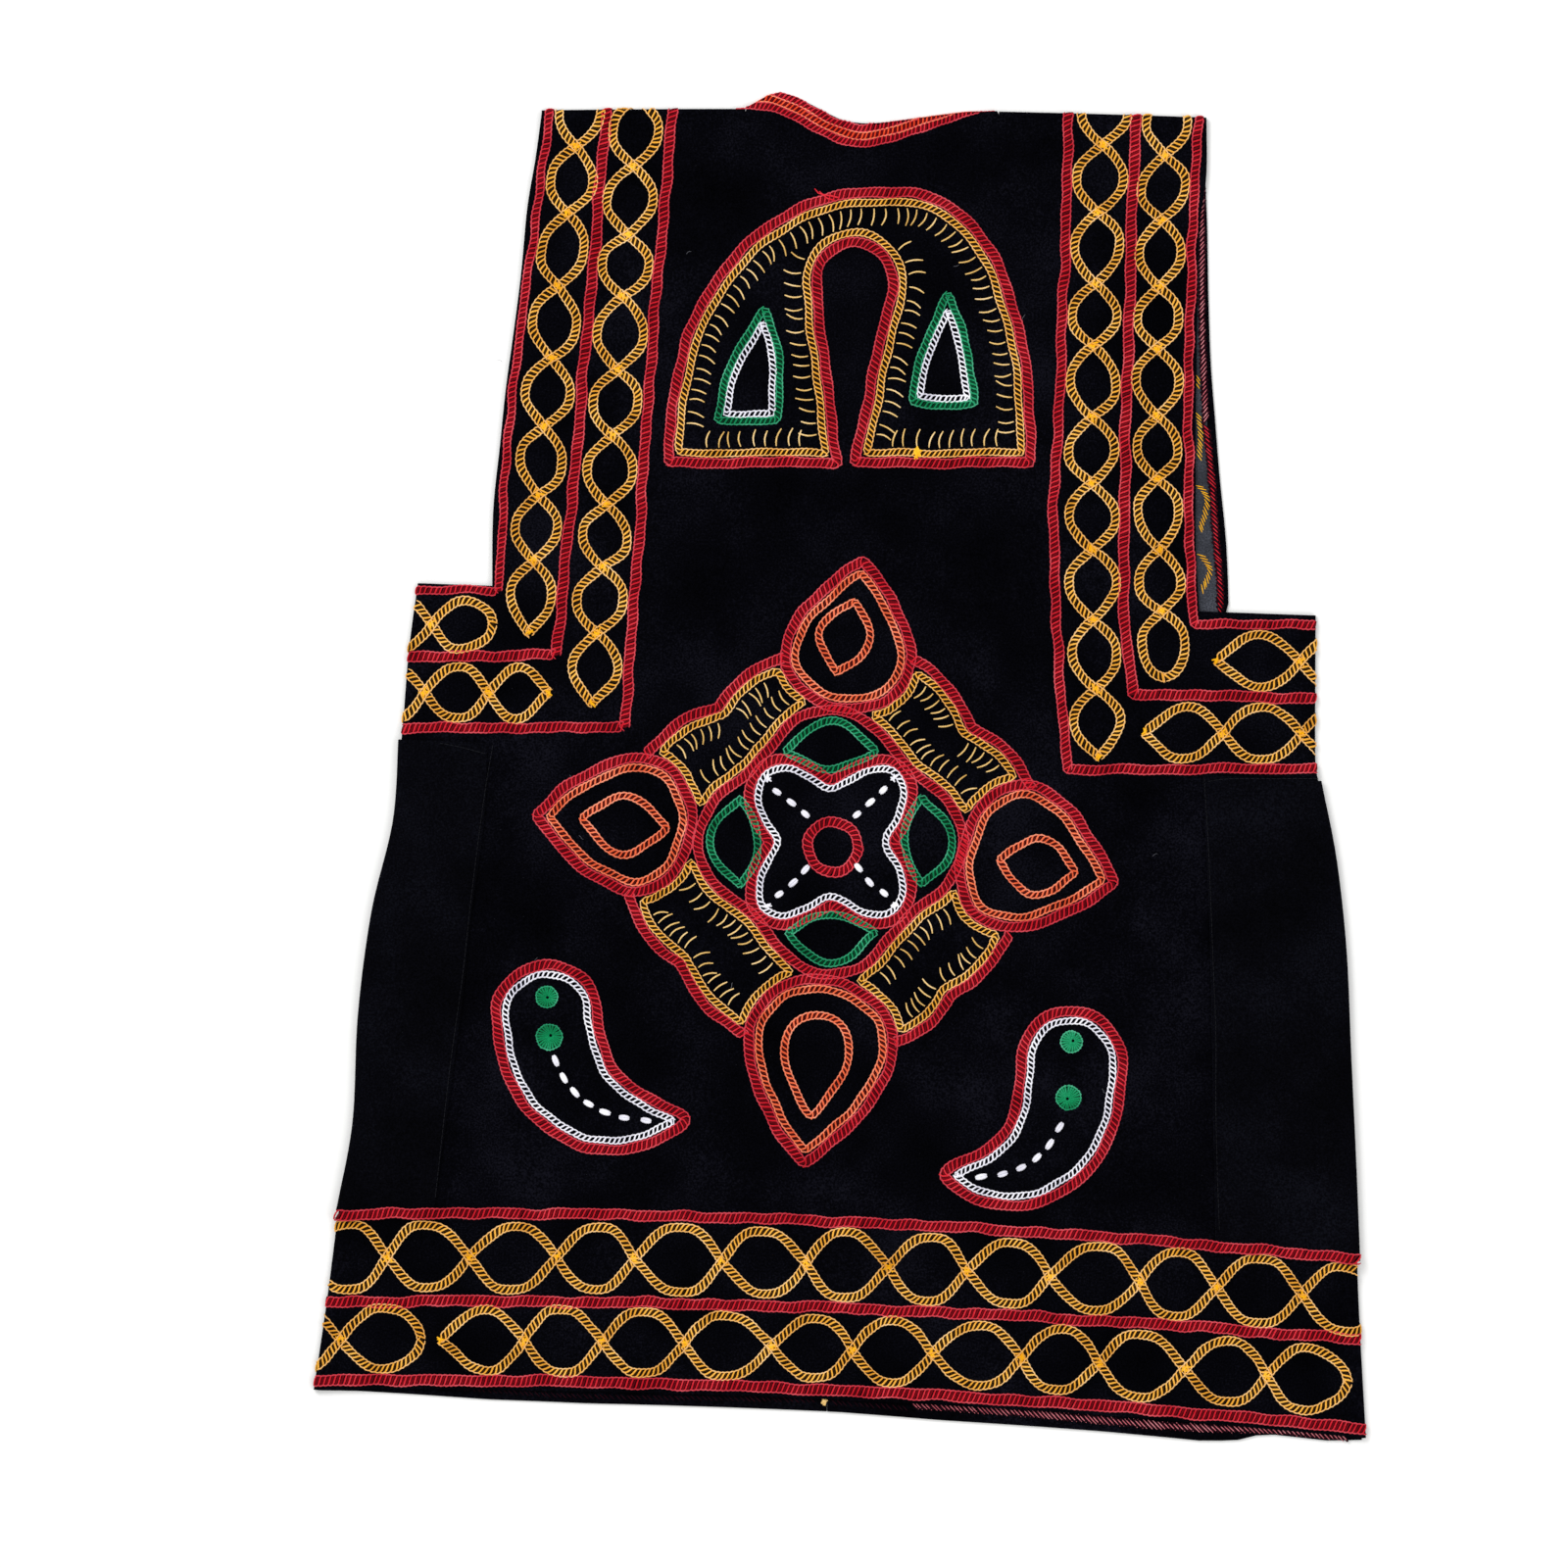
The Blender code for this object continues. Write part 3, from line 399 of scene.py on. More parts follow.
# Columns and rows of the panels: degrees round a turned edge, and shares of a part's width. The
# neck opening has a column close to each side of its corners.
turnAngles = evenly(235, 90, 24)
wingShares = evenly(0, 1, 0.125)
cornerRoom, columnRoom, middleWidth = 0.6, 0.004, 400
neckSides = [(x + aside - armholeRows[0].leftX) / (armholeRows[0].rightX - armholeRows[0].leftX)
             for x in (neckStart, neckEnd) for aside in (-cornerRoom, cornerRoom)]
middleShares = sorted(
    [share for share in evenly(0, 1, cloth["step"] / middleWidth)
     if min(abs(share - side) for side in neckSides) > columnRoom] + neckSides)
sideSteps = evenly(0, len(sideRows) - 1, 0.16)
armholeSteps = evenly(0, len(armholeRows) - 1, 0.19)
backColumns = (
    [("roll", 0, angle) for angle in turnAngles[:-1]] + [("wing", 0, share) for share in wingShares[:-1]]
    + [("middle", 0, share) for share in middleShares]
    + [("wing", 1, share) for share in wingShares[-2::-1]]
    + [("roll", 1, angle) for angle in turnAngles[-2::-1]])
backRows = (
    [("shoulder", angle) for angle in turnAngles[:-1]] + [("armhole", t) for t in armholeSteps]
    + [("side", t) for t in sideSteps[1:]])


def sideOf(line, side):  # the fold, the pocket's seam and the way inwards on one side
    return (line.leftX, line.seamLeft, 1) if side == 0 else (line.rightX, line.seamRight, -1)


def placeOnBack(column, row):
    zone, side, share = column
    level, at = row
    roll = cloth["roll"]
    if level == "side":
        line = rowBetween(sideRows, at)
        edge, seam, inward = sideOf(line, side)
        middle = edge + inward * roll
        if zone == "roll":
            turn = math.radians(share)
            y = rowY(line, middle)
            return (middle + inward * roll * math.cos(turn), y,
                    pocketLift(middle, y) + roll + roll * math.sin(turn))
        x = mix(middle, seam, share) if zone == "wing" else mix(line.seamLeft, line.seamRight, share)
        y = rowY(line, x)
        return (x, y, backFace(x, y))
    if zone != "middle":
        if level == "armhole" and at == armholeSteps[-1]:
            return placeOnBack(column, ("side", 0))
        return None
    line = rowBetween(armholeRows, 0 if level == "shoulder" else at)
    x = mix(line.leftX, line.rightX, share)
    y = rowY(line, x)
    inNeck = neckSides[0] + 0.001 < share < neckSides[3] - 0.001
    if level == "shoulder":
        if inNeck:
            return None
        turn = math.radians(at)
        return (x, y - roll - roll * math.cos(turn), roll + roll * math.sin(turn))
    y -= roll * max(0, 1 - at)
    if inNeck and at < cloth["neckRows"]:
        y += (valueAt(neckEdge, x) - shoulderY(x) + roll) * (1 - at / cloth["neckRows"]) ** 2
    return (x, y, backFace(x, y))


back = clothSheet("backPanel", backColumns, backRows, placeOnBack, (blackVelvet, greyBack))
print("back panel laid")

# The fronts lie under the back with their wrong side up; the turned-in hems show their pile.
front = {"underarmShows": 15.0, "hemIn": 14.0, "armholeHem": 4.6, "leftIn": 1.5, "middle": 0.502,
         "middleWidth": 190, "neckDepth": 82.0, "neckHalf": 0.198, "neckRows": 5, "dropFrom": 10}
frontEdge = tableOf("x y", (203.5, 361), (203.6, 329), (204.6, 299), (205.3, 260), (206.6, 224),
                    (209, 193), (211.6, 161), (215.2, 124), (216.5, 92), (215, 84))
hemDrop = ((-293, 0.5), (-268, 1), (-241, 2.6), (-196, 5.5), (-142, 6.9), (0, 7.1), (56, 8.7), (146, 9.1),
           (200, 10), (220, 8.4), (236, 3), (272, 3.6), (293, 1))


def placeOnFront(side):
    def place(column, row):
        zone, share = column
        level, at = row
        if level == "side":
            line = rowBetween(sideRows, at)
            edge, seam, inward = sideOf(line, side)
            centre = mix(line.seamLeft, line.seamRight, front["middle"]) - inward * cloth["gap"] / 2
            armhole = seam - inward * (front["underarmShows"] if side and at < 0.01 else 0)
            start = edge + inward * (cloth["roll"] + cloth["gap"])
            x = {"wing": mix(start, armhole, share),
                 "hem": armhole + inward * front["armholeHem"] * share,
                 "middle": mix(armhole + inward * front["armholeHem"], centre, share)}[zone]
            y = rowY(line, x) - valueAt(hemDrop, x) * smoothStep(at - front["dropFrom"])
            return (x, y, cloth["wall"] + pocketLift(x, y))
        if zone == "wing":
            return place(column, ("side", 0)) if at == armholeSteps[-1] else None
        if side and at == armholeSteps[-1]:
            return place(column, ("side", 0))
        line = rowBetween(armholeRows, at)
        edgeX, inward = line.leftX + front["leftIn"], 1
        if side:
            edgeX, inward = rowBetween(frontEdge, min(len(frontEdge) - 1, at)).x, -1
        centre = mix(line.leftX, line.rightX, front["middle"]) - inward * cloth["gap"] / 2
        x = mix(edgeX + inward * front["armholeHem"], centre, share)
        if zone == "hem":
            x = edgeX + inward * front["armholeHem"] * share
        across = (x - line.leftX) / (line.rightX - line.leftX)
        y = rowY(line, x) - (cloth["roll"] + cloth["gap"]) * max(0, 1 - at)
        off = abs(across - front["middle"]) / front["neckHalf"]
        y -= front["neckDepth"] * math.sqrt(max(0.0, 1 - off * off)) * max(0.0, 1 - at / front["neckRows"])
        return (x, y, cloth["wall"])
    return place


frontColumns = (
    [("wing", share) for share in wingShares[:-1]] + [("hem", share) for share in (0, 0.25, 0.5, 1)]
    + [("middle", share) for share in evenly(0, 1, cloth["step"] / front["middleWidth"])[1:]])
frontRows = [("armhole", t) for t in armholeSteps] + [("side", t) for t in sideSteps[1:]]


def frontFinish(side):  # 1 where the pile of a turned-in hem shows, and 0 for the wrong side
    def pick(centre):
        if centre.y > underarmY(centre.x) and side:
            rows = tuple((row.y, row.x) for row in reversed(frontEdge))
            return 1 if centre.x > valueAt(rows, centre.y) - front["armholeHem"] else 0
        return 1 if centre.y < rowY(sideRows[-1], centre.x) + front["hemIn"] else 0
    return pick


frontFinishes = greyBack, blackVelvet, blackVelvet
fronts = [clothSheet(name, frontColumns, frontRows, placeOnFront(side), frontFinishes, frontFinish(side))
          for side, name in enumerate(("leftFront", "rightFront"))]
print("fronts laid")

# Each pocket runs from its seam on the back, round the side fold, to its seam on the front.
pocketCrown, seamSoft = 12.0, 12.0  # how far the swelling along the fold reaches, and the seam's hold
pocketColumns = (
    [("top", share) for share in evenly(0, 1, 0.1)[:-1]] + [("roll", angle) for angle in evenly(90, 270, 20)]
    + [("under", share) for share in evenly(1, 0, 0.125)[1:]])
pocketRises = (
    tableOf(riseColumns, (-262, -60, -212, -150, 0.5, 9), (-230, 10, -236, -60, 0.4, 8),
            (-250, -170, -226, -215, 0.5, 10)),
    tableOf(riseColumns, (214, -225, 240, -262, 0.8, 7), (262, -90, 226, -170, 0.6, 11),
            (232, -15, 246, -70, 0.4, 9)))


def placeOnPocket(side):
    def place(column, row):
        zone, share = column
        line = rowBetween(sideRows, row)
        edge, seam, inward = sideOf(line, side)
        middle = edge + inward * cloth["roll"]
        layer, roll = cloth["pocketLayer"], cloth["roll"]
        if zone == "roll":
            turn, radius = math.radians(share), roll + layer
            x = middle + inward * radius * math.cos(turn)
            return (x, rowY(line, x), layer + roll + radius * math.sin(turn))
        x = mix(seam, middle, share)
        if zone == "under":
            return (x, rowY(line, x), 0)
        y = rowY(line, x)
        crown = math.exp(-((x - middle) / pocketCrown) ** 2)
        soft = softRise(pocketRises[side], x, y) * smoothStep(abs(x - seam) / seamSoft)
        return (x, y, mix(2 * layer + cloth["face"], 2 * layer + cloth["foldFace"], crown) + soft)
    return place


pocketRows = evenly(3, pocketReach, 0.13)
pockets = [clothSheet(name, pocketColumns, pocketRows, placeOnPocket(side), (pocketVelvet, greyBack))
           for side, name in enumerate(("leftPocket", "rightPocket"))]
print("pockets laid")


# Yarn

def yarnPiece(name, strands, finishes):
    # Strands are (points, radii, number of the finish, sides): closed tubes that have four sides
    # for a 0 and six for a 1.
    parts = []
    for sides in (0, 1):
        chosen = [strand for strand in strands if strand[3] == sides]
        if not chosen:
            continue
        curve = bpy.data.curves.new(name, "CURVE")
        curve.dimensions = "3D"
        curve.twist_mode = "Z_UP"
        curve.bevel_depth = mm
        curve.bevel_resolution = sides
        curve.use_fill_caps = True
        for finish in finishes:
            curve.materials.append(finish)
        for points, radii, finish, _ in chosen:
            spline = curve.splines.new("POLY")
            spline.points.add(len(points) - 1)
            spline.points.foreach_set("co", [v for p in points for v in (p[0] * mm, p[1] * mm, p[2] * mm, 1)])
            spline.points.foreach_set("radius", radii)
            spline.material_index = finish
        holder = bpy.data.objects.new(name, curve)
        bpy.context.collection.objects.link(holder)
        parts.append(holder)
    bpy.context.view_layer.update()
    graph = bpy.context.evaluated_depsgraph_get()
    mesh = bmesh.new()
    for holder in parts:
        mesh.from_mesh(bpy.data.meshes.new_from_object(holder.evaluated_get(graph)))
        bpy.data.objects.remove(holder)
    return tidyObject(name, mesh, finishes)


corner = 1  # a third value that breaks a smooth line


def smoothLine(points, closed, step=1.0):
    count = len(points)
    spans = count if closed else count - 1
    line = []
    for i in range(spans):
        here, after = points[i], points[(i + 1) % count]
        before = points[i - 1] if closed or i else here
        beyond = points[(i + 2) % count] if closed or i + 2 < count else after
        p1, p2 = Vector(here[:2]), Vector(after[:2])
        p0 = p1 if len(here) > 2 else Vector(before[:2])
        p3 = p2 if len(after) > 2 else Vector(beyond[:2])
        parts = max(1, round((p2 - p1).length / step))
        line += [curveThrough(p0, p1, p2, p3, k / parts) for k in range(parts)]
    if not closed:
        line.append(Vector(points[-1][:2]))
    return line


class Follow:
    # Distance along a line to place and left-hand normal, a little rounded at corners.
    def __init__(self, line, closed):
        self.closed = closed
        self.line = line + [line[0]] if closed else line
        self.marks = [0.0]
        for a, b in zip(self.line, self.line[1:]):
            self.marks.append(self.marks[-1] + (b - a).length)
        self.length = self.marks[-1]
        self.near = 0

    def point(self, s):
        if self.closed:
            s %= self.length
        else:
            s = min(max(s, 0), self.length)
        i = self.near if self.marks[self.near] <= s else 0
        while i < len(self.marks) - 2 and self.marks[i + 1] < s:
            i += 1
        self.near = i
        span = self.marks[i + 1] - self.marks[i]
        return self.line[i].lerp(self.line[i + 1], (s - self.marks[i]) / span if span else 0)

    def normal(self, s, reach=1.3):
        run = self.point(s + reach) - self.point(s - reach)
        if run.length < 1e-6:
            run = Vector((1, 0))
        return Vector((-run.y, run.x)).normalized()


# Widths, pitch and yarn radii of each kind of laced row. Lean is how far the left rail runs
# ahead, and depth is how far the fill under the rungs is sunk. The fill is painted shade: a dark
# strand that darkens the gaps between the rungs.
# Where a row has three finishes, the first, for its rails, is a paler copy of its yarn: a painted highlight.
rowKinds = {row.kind: row for row in tableOf(
    "kind slot width pitch rail rung fill depth lean finishes",
    ("red", "red_braid", 6.0, 2.8, 0.44, 0.48, 0.95, 0.3, 2.6, (redWoolPale, redWool, redWoolDeep)),
    ("orange", "red_braid", 4.8, 2.5, 0.44, 0.5, 0.8, 0.2, 2.0, (salmonWoolPale, orangeWool, redWoolDeep)),
    ("neckRed", "red_braid", 4.8, 2.5, 0.42, 0.46, 0.8, 0.2, 2.0, (redWoolPale, redWool, redWoolDeep)),
    ("gold", "yellow_braid", 5.3, 2.8, 0.42, 0.52, 0.7, 0.45, 3.0, (goldWoolPale, goldWool, goldShade)),
    ("goldFine", "yellow_braid", 4.4, 2.8, 0.38, 0.46, 0.65, 0.45, 2.4, (goldWoolPale, goldWool, goldShade)),
    ("salmon", "salmon_braid", 4.5, 2.9, 0.46, 0.54, 0.7, 0.45, 2.4,
     (salmonWoolPale, salmonWool, salmonShade)),
    ("green", "green_braid", 4.6, 2.7, 0.44, 0.52, 0.8, 0.3, 2.0, (greenWoolPale, greenWool, greenWoolDeep)),
    ("white", "white_braid", 4.1, 2.8, 0.46, 0.5, 0, 0, 2.0, (whiteWool, whiteWool)))}
# Strokes of a row. Rail: place in pitches, how far it lies in, height, thickness. Rung: place in
# skews, side, how far it lies in, height, thickness. Fill: place in skews, side, height.
railForm = ((-0.2, 0.35, 0.35, 0.75), (0.45, -0.12, 0.62, 1), (1.15, 0.12, 0.3, 0.6))
rungForm = (
    (-1, -1, 0.1, 0.3, 0.8), (-0.3, -0.34, 0, 0.52, 1), (0.3, 0.34, 0, 0.52, 1), (1, 1, 0.1, 0.3, 0.8))
fillForm = ((-1, -0.9, 0), (0, 0, 0.08), (1, 0.9, 0))
hand = {"wobble": 0.22, "swell": 0.06, "waves": (15, 30), "stray": 0.09, "slip": 0.15, "waver": 0.6}
wholeTurn = 6.28  # about a full turn, for the hand's uneven waves


def lacedRow(line, closed, kind, dice, lean=None, over=None, width=None):
    # One laced row along a line: rails of overlapping strokes, and slanted rungs between them.
    form = rowKinds[kind]
    lean = form.lean if lean is None else lean
    track = Follow(line, closed)
    count = max(3, round(track.length / form.pitch))
    pitch = track.length / count
    half = (width or form.width) / 2 - form.rail
    waves = [(dice.uniform(0, wholeTurn), dice.uniform(*hand["waves"])) for _ in range(3)]

    def spot(s, side, lies, up):
        wobble = hand["wobble"] * math.sin(s / waves[0][1] * wholeTurn + waves[0][0])
        swell = 1 + hand["swell"] * math.sin(s / waves[1][1] * wholeTurn + waves[1][0])
        at = track.point(s) + track.normal(s) * (side * (half - lies) * swell + wobble)
        rest = over(track.point(s)) if over else 0
        return at.x, at.y, up + rest

    strands = []
    for k in range(count):
        s = (k + 0.5 + dice.uniform(-hand["stray"], hand["stray"])) * pitch
        skew = lean / 2 + dice.uniform(-hand["slip"], hand["slip"])
        for side in (1, -1):
            # Rails take the row's first finish, which in coloured rows is a paler copy of the yarn: a painted
            # highlight.
            points = [spot(s + side * skew + at * pitch, side, lies, up) for at, lies, up, _ in railForm]
            thick = form.rail * dice.uniform(0.92, 1.08)
            strands.append((points, [part[-1] * thick for part in railForm], 0, 0))
        points = [spot(s + at * skew, side, lies, up) for at, side, lies, up, _ in rungForm]
        thick = form.rung * dice.uniform(0.9, 1.1)
        strands.append((points, [part[-1] * thick for part in rungForm], 1, 1))
        # The fill is a dark strand sunk between the rungs: painted shade in the gaps.
        if form.fill:
            low = s + 0.5 * pitch
            points = [spot(low + at * skew, side, 0, up - form.depth) for at, side, up in fillForm]
            strands.append((points, [form.fill] * len(fillForm), 2, 0))
    return strands


def laidOnBack(strands):  # strands put on the cloth; those that run too far round a fold are left out
    return [([onBack(*point) for point in points], radii, finish, sides)
            for points, radii, finish, sides in strands
            if max(pastFold(x, y) for x, y, up in points) < cloth["foldReach"]]


def knot(at, size, finish, dice, count):
    # A few stitches over each other where a row starts, ends or crosses.
    strands = []
    for k in range(count):
        angle = dice.uniform(0, math.pi)
        off = Vector((dice.uniform(-1, 1), dice.uniform(-1, 1))) * size * 0.28
        run = Vector((math.cos(angle), math.sin(angle))) * size / 2
        middle = Vector(at[:2]) + off
        strokes = [(*(middle + run * t), up) for t, up in ((-1, 0.5), (0, 1.15), (1, 0.5))]
        strands.append((strokes, (0.4, 0.6, 0.4), finish, 1))
    return strands


def keepWork(made, node=None):
    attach(made, "root")
    if node:
        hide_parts(node)


def wavered(line, closed, dice):
    # The line as a hand would sew it, a little off to each side by turns.
    track = Follow(line, closed)
    waves = [(max(1, round(track.length / span)), dice.uniform(0, wholeTurn), dice.uniform(0.3, 0.6))
             for span in (32, 53, 97)]
    moved = []
    count = round(track.length)
    for k in range(count if closed else count + 1):
        s = track.length * k / count
        off = sum(high * math.sin(2 * math.pi * turns * k / count + start) for turns, start, high in waves)
        moved.append(track.point(s) + track.normal(s, 2.5) * off * hand["waver"])
    return moved


# Red rows across the hem: node, width, lean, the cloth row that each follows and how far above it.
hemRows = {
    "hemTopRow": ("braid_hem_top", 6.2, 2.4, sideRows[9], 5),
    "hemMiddleRow": ("braid_hem_middle", 6.4, 2.4, sideRows[10], 2),
    "hemBottomRow": ("braid_hem_bottom", 6.6, 2.0, sideRows[11], 5.3),
}
runOn = 9.0  # how far a row runs on past a fold
# Red rows down the sides and out to the folds: node, width, lean of each part, points.
edgeRows = {
    "leftOuterRow": ("braid_left_outer", 4.9, (-1.8, 1.6), (
        (-160, 373), (-174, 270), (-184, 190), (-190, 98, corner), (-243, 98))),
    "leftMiddleRow": ("braid_left_middle", 6.2, (-2.4, 2.2), (
        (-129, 373), (-139, 260), (-148, 160), (-158, 62, corner), (-247, 61))),
    "leftInnerRow": ("braid_left_inner", 6.0, (-2.4, 2.2), (
        (-92, 374), (-104, 240), (-112, 125), (-120, 22, corner), (-252, 21))),
    "rightInnerRow": ("braid_right_inner", 5.8, (-2.4, 2.2), (
        (128, 372), (123, 225), (119, 120), (126, -2, corner), (274, -1))),
    "rightMiddleRow": ("braid_right_middle", 6.3, (-2.4, 2.2), (
        (165, 372), (160, 220), (158, 100), (163, 40, corner), (272, 38))),
    "rightOuterRow": ("braid_right_outer", 5.4, (-1.8, 1.8), (
        (200, 372), (195, 260), (194, 150), (197, 79, corner), (273, 79))),
}


def splitAtCorners(points):
    parts, part = [], []
    for point in points:
        part.append(point)
        if len(point) > 2:
            parts.append(part)
            part = [point[:2]]
    return parts + [part]


topRow = {"overlap": 4, "soft": 6, "rise": 1.75}  # where it covers the pockets' feet


def overPocket(at):  # how much higher the top row of the hem lies there
    seams = valueAt(seamTables[0], at.y), valueAt(seamTables[1], at.y)
    beside = (smoothStep((seams[0] + topRow["overlap"] - at.x) / topRow["soft"])
              + smoothStep((at.x - seams[1] + topRow["overlap"]) / topRow["soft"]))
    return topRow["rise"] * beside


def sewRow(name, node, parts, width, over=None):
    # An open red row in one or more parts, each a line and its lean.
    dice = random.Random(name)
    strands = []
    for line, lean in parts:
        strands += lacedRow(wavered(line, False, dice), False, "red", dice, lean, over, width)
    keepWork(yarnPiece(name, laidOnBack(strands), rowKinds["red"].finishes), node)


for name, (node, width, lean, row, above) in hemRows.items():
    points = [(x, rowY(row, x) + above) for x in evenly(row.leftX - runOn, row.rightX + runOn, 100)]
    over = overPocket if name == "hemTopRow" else None
    sewRow(name, node, [(smoothLine(points, False), lean)], width, over)
for name, (node, width, leans, points) in edgeRows.items():
    parts = [(smoothLine(part, False), lean) for part, lean in zip(splitAtCorners(points), leans)]
    sewRow(name, node, parts, width)
print("edge rows sewn")

# Gold loops: two strands that swap sides at each crossing. Each row has half its height, its
# lean, its first and last crossing, how far the line between them bows to its left, how many
# crossings it has, and its ends. An end runs on past a fold (None) or closes at its crossing:
# the smaller the number, the rounder it closes.
loopRows = tableOf(
    "name node height lean first last bow count ends",
    ("hemUpperLoops", "loops_hem_upper", 17.8, 2.8, (-252, -273), (257, -294), 6, 12, (None, None)),
    ("hemLowerLeftLoops", "loops_hem_lower_left", 17.0, 2.8, (-278, -319), (-233, -319), 0, 2, (None, 0.5)),
    ("hemLowerLoops", "loops_hem_lower", 17.2, 2.8, (-223, -319), (283, -343), 5.5, 12, (1.3, 0.6)),
    ("leftOuterLoops", "loops_left_outer", 12.0, -2.4, (-147, 345), (-173, 74), -2.5, 8, (None, 1.1)),
    ("leftInnerLoops", "loops_left_inner", 12.8, -2.4, (-115, 334), (-138, 35), 0, 9, (None, 1.1)),
    ("rightInnerLoops", "loops_right_inner", 12.8, -2.4, (146, 346), (144, 5), -5, 10, (None, 1.1)),
    ("rightOuterLoops", "loops_right_outer", 11.8, -2.4, (181, 340), (181, 49), -4.5, 9, (None, 0.5)),
    ("leftUnderarmLoops", "loops_left_underarm", 13.5, 2.6, (-227, 79), (-193, 79), 0, 2, (None, 0.5)),
    ("leftWaistLoops", "loops_left_waist", 14.5, 2.6, (-231, 41), (-162, 41), 0, 3, (None, 1.2)),
    ("rightUnderarmLoops", "loops_right_underarm", 15.0, 2.6, (209, 59), (256, 58), 0, 2, (1.2, None)),
    ("rightWaistLoops", "loops_right_waist", 15.0, 2.6, (169, 19), (257, 18), 0, 3, (1.2, None)))
uneven = 0.06  # how far a crossing strays from even spacing, as a share of it


def crossingsOf(row):
    dice = random.Random(row.node)
    first, run = Vector(row.first), Vector(row.last) - Vector(row.first)
    aside = Vector((-run.y, run.x)).normalized() * row.bow
    spots = []
    for k in range(row.count):
        stray = dice.uniform(-uneven, uneven) if 0 < k < row.count - 1 else 0
        share = (k + stray) / (row.count - 1)
        spots.append(first + run * share + aside * 4 * share * (1 - share))
    if row.ends[0] is None:
        spots.insert(0, spots[0] * 2 - spots[1])
    if row.ends[1] is None:
        spots.append(spots[-1] * 2 - spots[-2])
    return spots


loopShares = (0.05, 0.12, 0.21, 0.34, 0.5, 0.66, 0.79, 0.88, 0.95)
loopForm = {"top": 1.12, "sides": 1.0,  # over 1, the top is flatter, and the sides hollow
            "skew": 0.05, "highest": 0.48}  # height as a share of the run between crossings, at most
crossing = {"rise": 0.95, "reach": 3.6}  # of the strand that lies over the other
loopKnots = {"crossing": (4.6, 6), "end": (3.4, 3)}  # size and number of stitches


def loopStrand(knots, height, sign, dice, ends):
    points = [knots[0]]
    last = len(knots) - 2
    for i, (here, there) in enumerate(zip(knots, knots[1:])):
        side = sign * (-1) ** i
        run = Vector(there) - Vector(here)
        across = Vector((-run.y, run.x)).normalized() * side * height * dice.uniform(0.95, 1.04)
        if across.length > loopForm["highest"] * run.length:
            across *= loopForm["highest"] * run.length / across.length
        skew = dice.uniform(-1, 1) * loopForm["skew"]
        for share in loopShares:
            closing = ends[0] if i == 0 and share < 0.5 else ends[1] if i == last and share > 0.5 else None
            reach = min(share, 1 - share) * 2
            if closing is None:
                reach, power = min(1.0, reach * loopForm["top"]), loopForm["sides"]
            else:
                power = closing
            along = share + skew * math.sin(math.pi * share)
            points.append(tuple(Vector(here) + run * along + across * math.sin(math.pi / 2 * reach) ** power))
        points.append(there)
    return points


def overKnots(knots):
    def rest(at):
        nearest = min((at - Vector(k)).length for k in knots)
        return crossing["rise"] * math.exp(-(nearest / crossing["reach"]) ** 2)
    return rest


bright = len(rowKinds["gold"].finishes)  # the knots' finish comes after those of the row
for row in loopRows:
    dice = random.Random(row.name)
    knots = crossingsOf(row)
    crossings = knots[1:-1]
    strands = []
    for sign, over in ((1, None), (-1, overKnots(crossings))):
        line = smoothLine(loopStrand(knots, row.height, sign, dice, row.ends), False)
        strands += lacedRow(line, False, "gold", dice, row.lean, over)
    for at in crossings:
        size, count = loopKnots["crossing"]
        strands += knot(at, size, bright, dice, count)
    for at, shape in ((knots[0], row.ends[0]), (knots[-1], row.ends[1])):
        if shape is not None and shape > 1:
            size, count = loopKnots["end"]
            strands += knot(at, size, bright, dice, count)
    finishes = (*rowKinds["gold"].finishes, goldWoolBright)
    keepWork(yarnPiece(row.name, laidOnBack(strands), finishes), row.node)
print("loops sewn")

# Figures on the middle of the back, each drawn from its main sizes.

def scooped(start, end, lowest):
    # An open line that rises from its lowest point, in a wave to the left and evenly to the right.
    line = []
    for x in evenly(start, end, 1):
        off = x - lowest[0]
        if off < 0:
            up = scoop["leftRise"] * (1 - math.cos(math.pi * min(1, -off / scoop["leftWidth"]))) / 2
        else:
            up = scoop["rightSlope"] * (math.hypot(off, scoop["soft"]) - scoop["soft"])
        line.append(Vector((x, lowest[1] + up)))
    return line


def arched():
    # A closed line: half a superellipse, and a keyhole that opens at its foot.
    line = []
    for turn in evenly(math.pi, 0, 0.02):
        across, power = arch["right"], 2 / arch["rightFullness"]
        if turn > math.pi / 2:
            across, power = -arch["left"], 2 / arch["leftFullness"]
        line.append(Vector((arch["crownX"] + across * abs(math.cos(turn)) ** power,
                            arch["foot"] + (arch["crownY"] - arch["foot"]) * abs(math.sin(turn)) ** power)))
    line.append(Vector((keyhole["footRight"], arch["foot"])))
    for turn in evenly(-keyhole["wrap"], math.pi + keyhole["wrap"], 0.05):
        line.append(Vector((keyhole["headX"] + keyhole["radius"] * math.cos(turn),
                            keyhole["headY"] + keyhole["radius"] * math.sin(turn))))
    line.append(Vector((keyhole["footLeft"], arch["foot"])))
    return line


def bowed(corners, bows, closed=True):
    # Corners joined by lines that bow to the left of their run.
    line = []
    for start, end, bow in zip(corners, corners[1:] + corners[:1] if closed else corners[1:], bows):
        begin, run = Vector(start), Vector(end) - Vector(start)
        aside = Vector((-run.y, run.x)).normalized() * bow
        for share in evenly(0, 1, 1 / run.length)[:-1]:
            line.append(begin + run * share + aside * math.sin(math.pi * share))
    if not closed:
        line.append(Vector(corners[-1]))
    return line


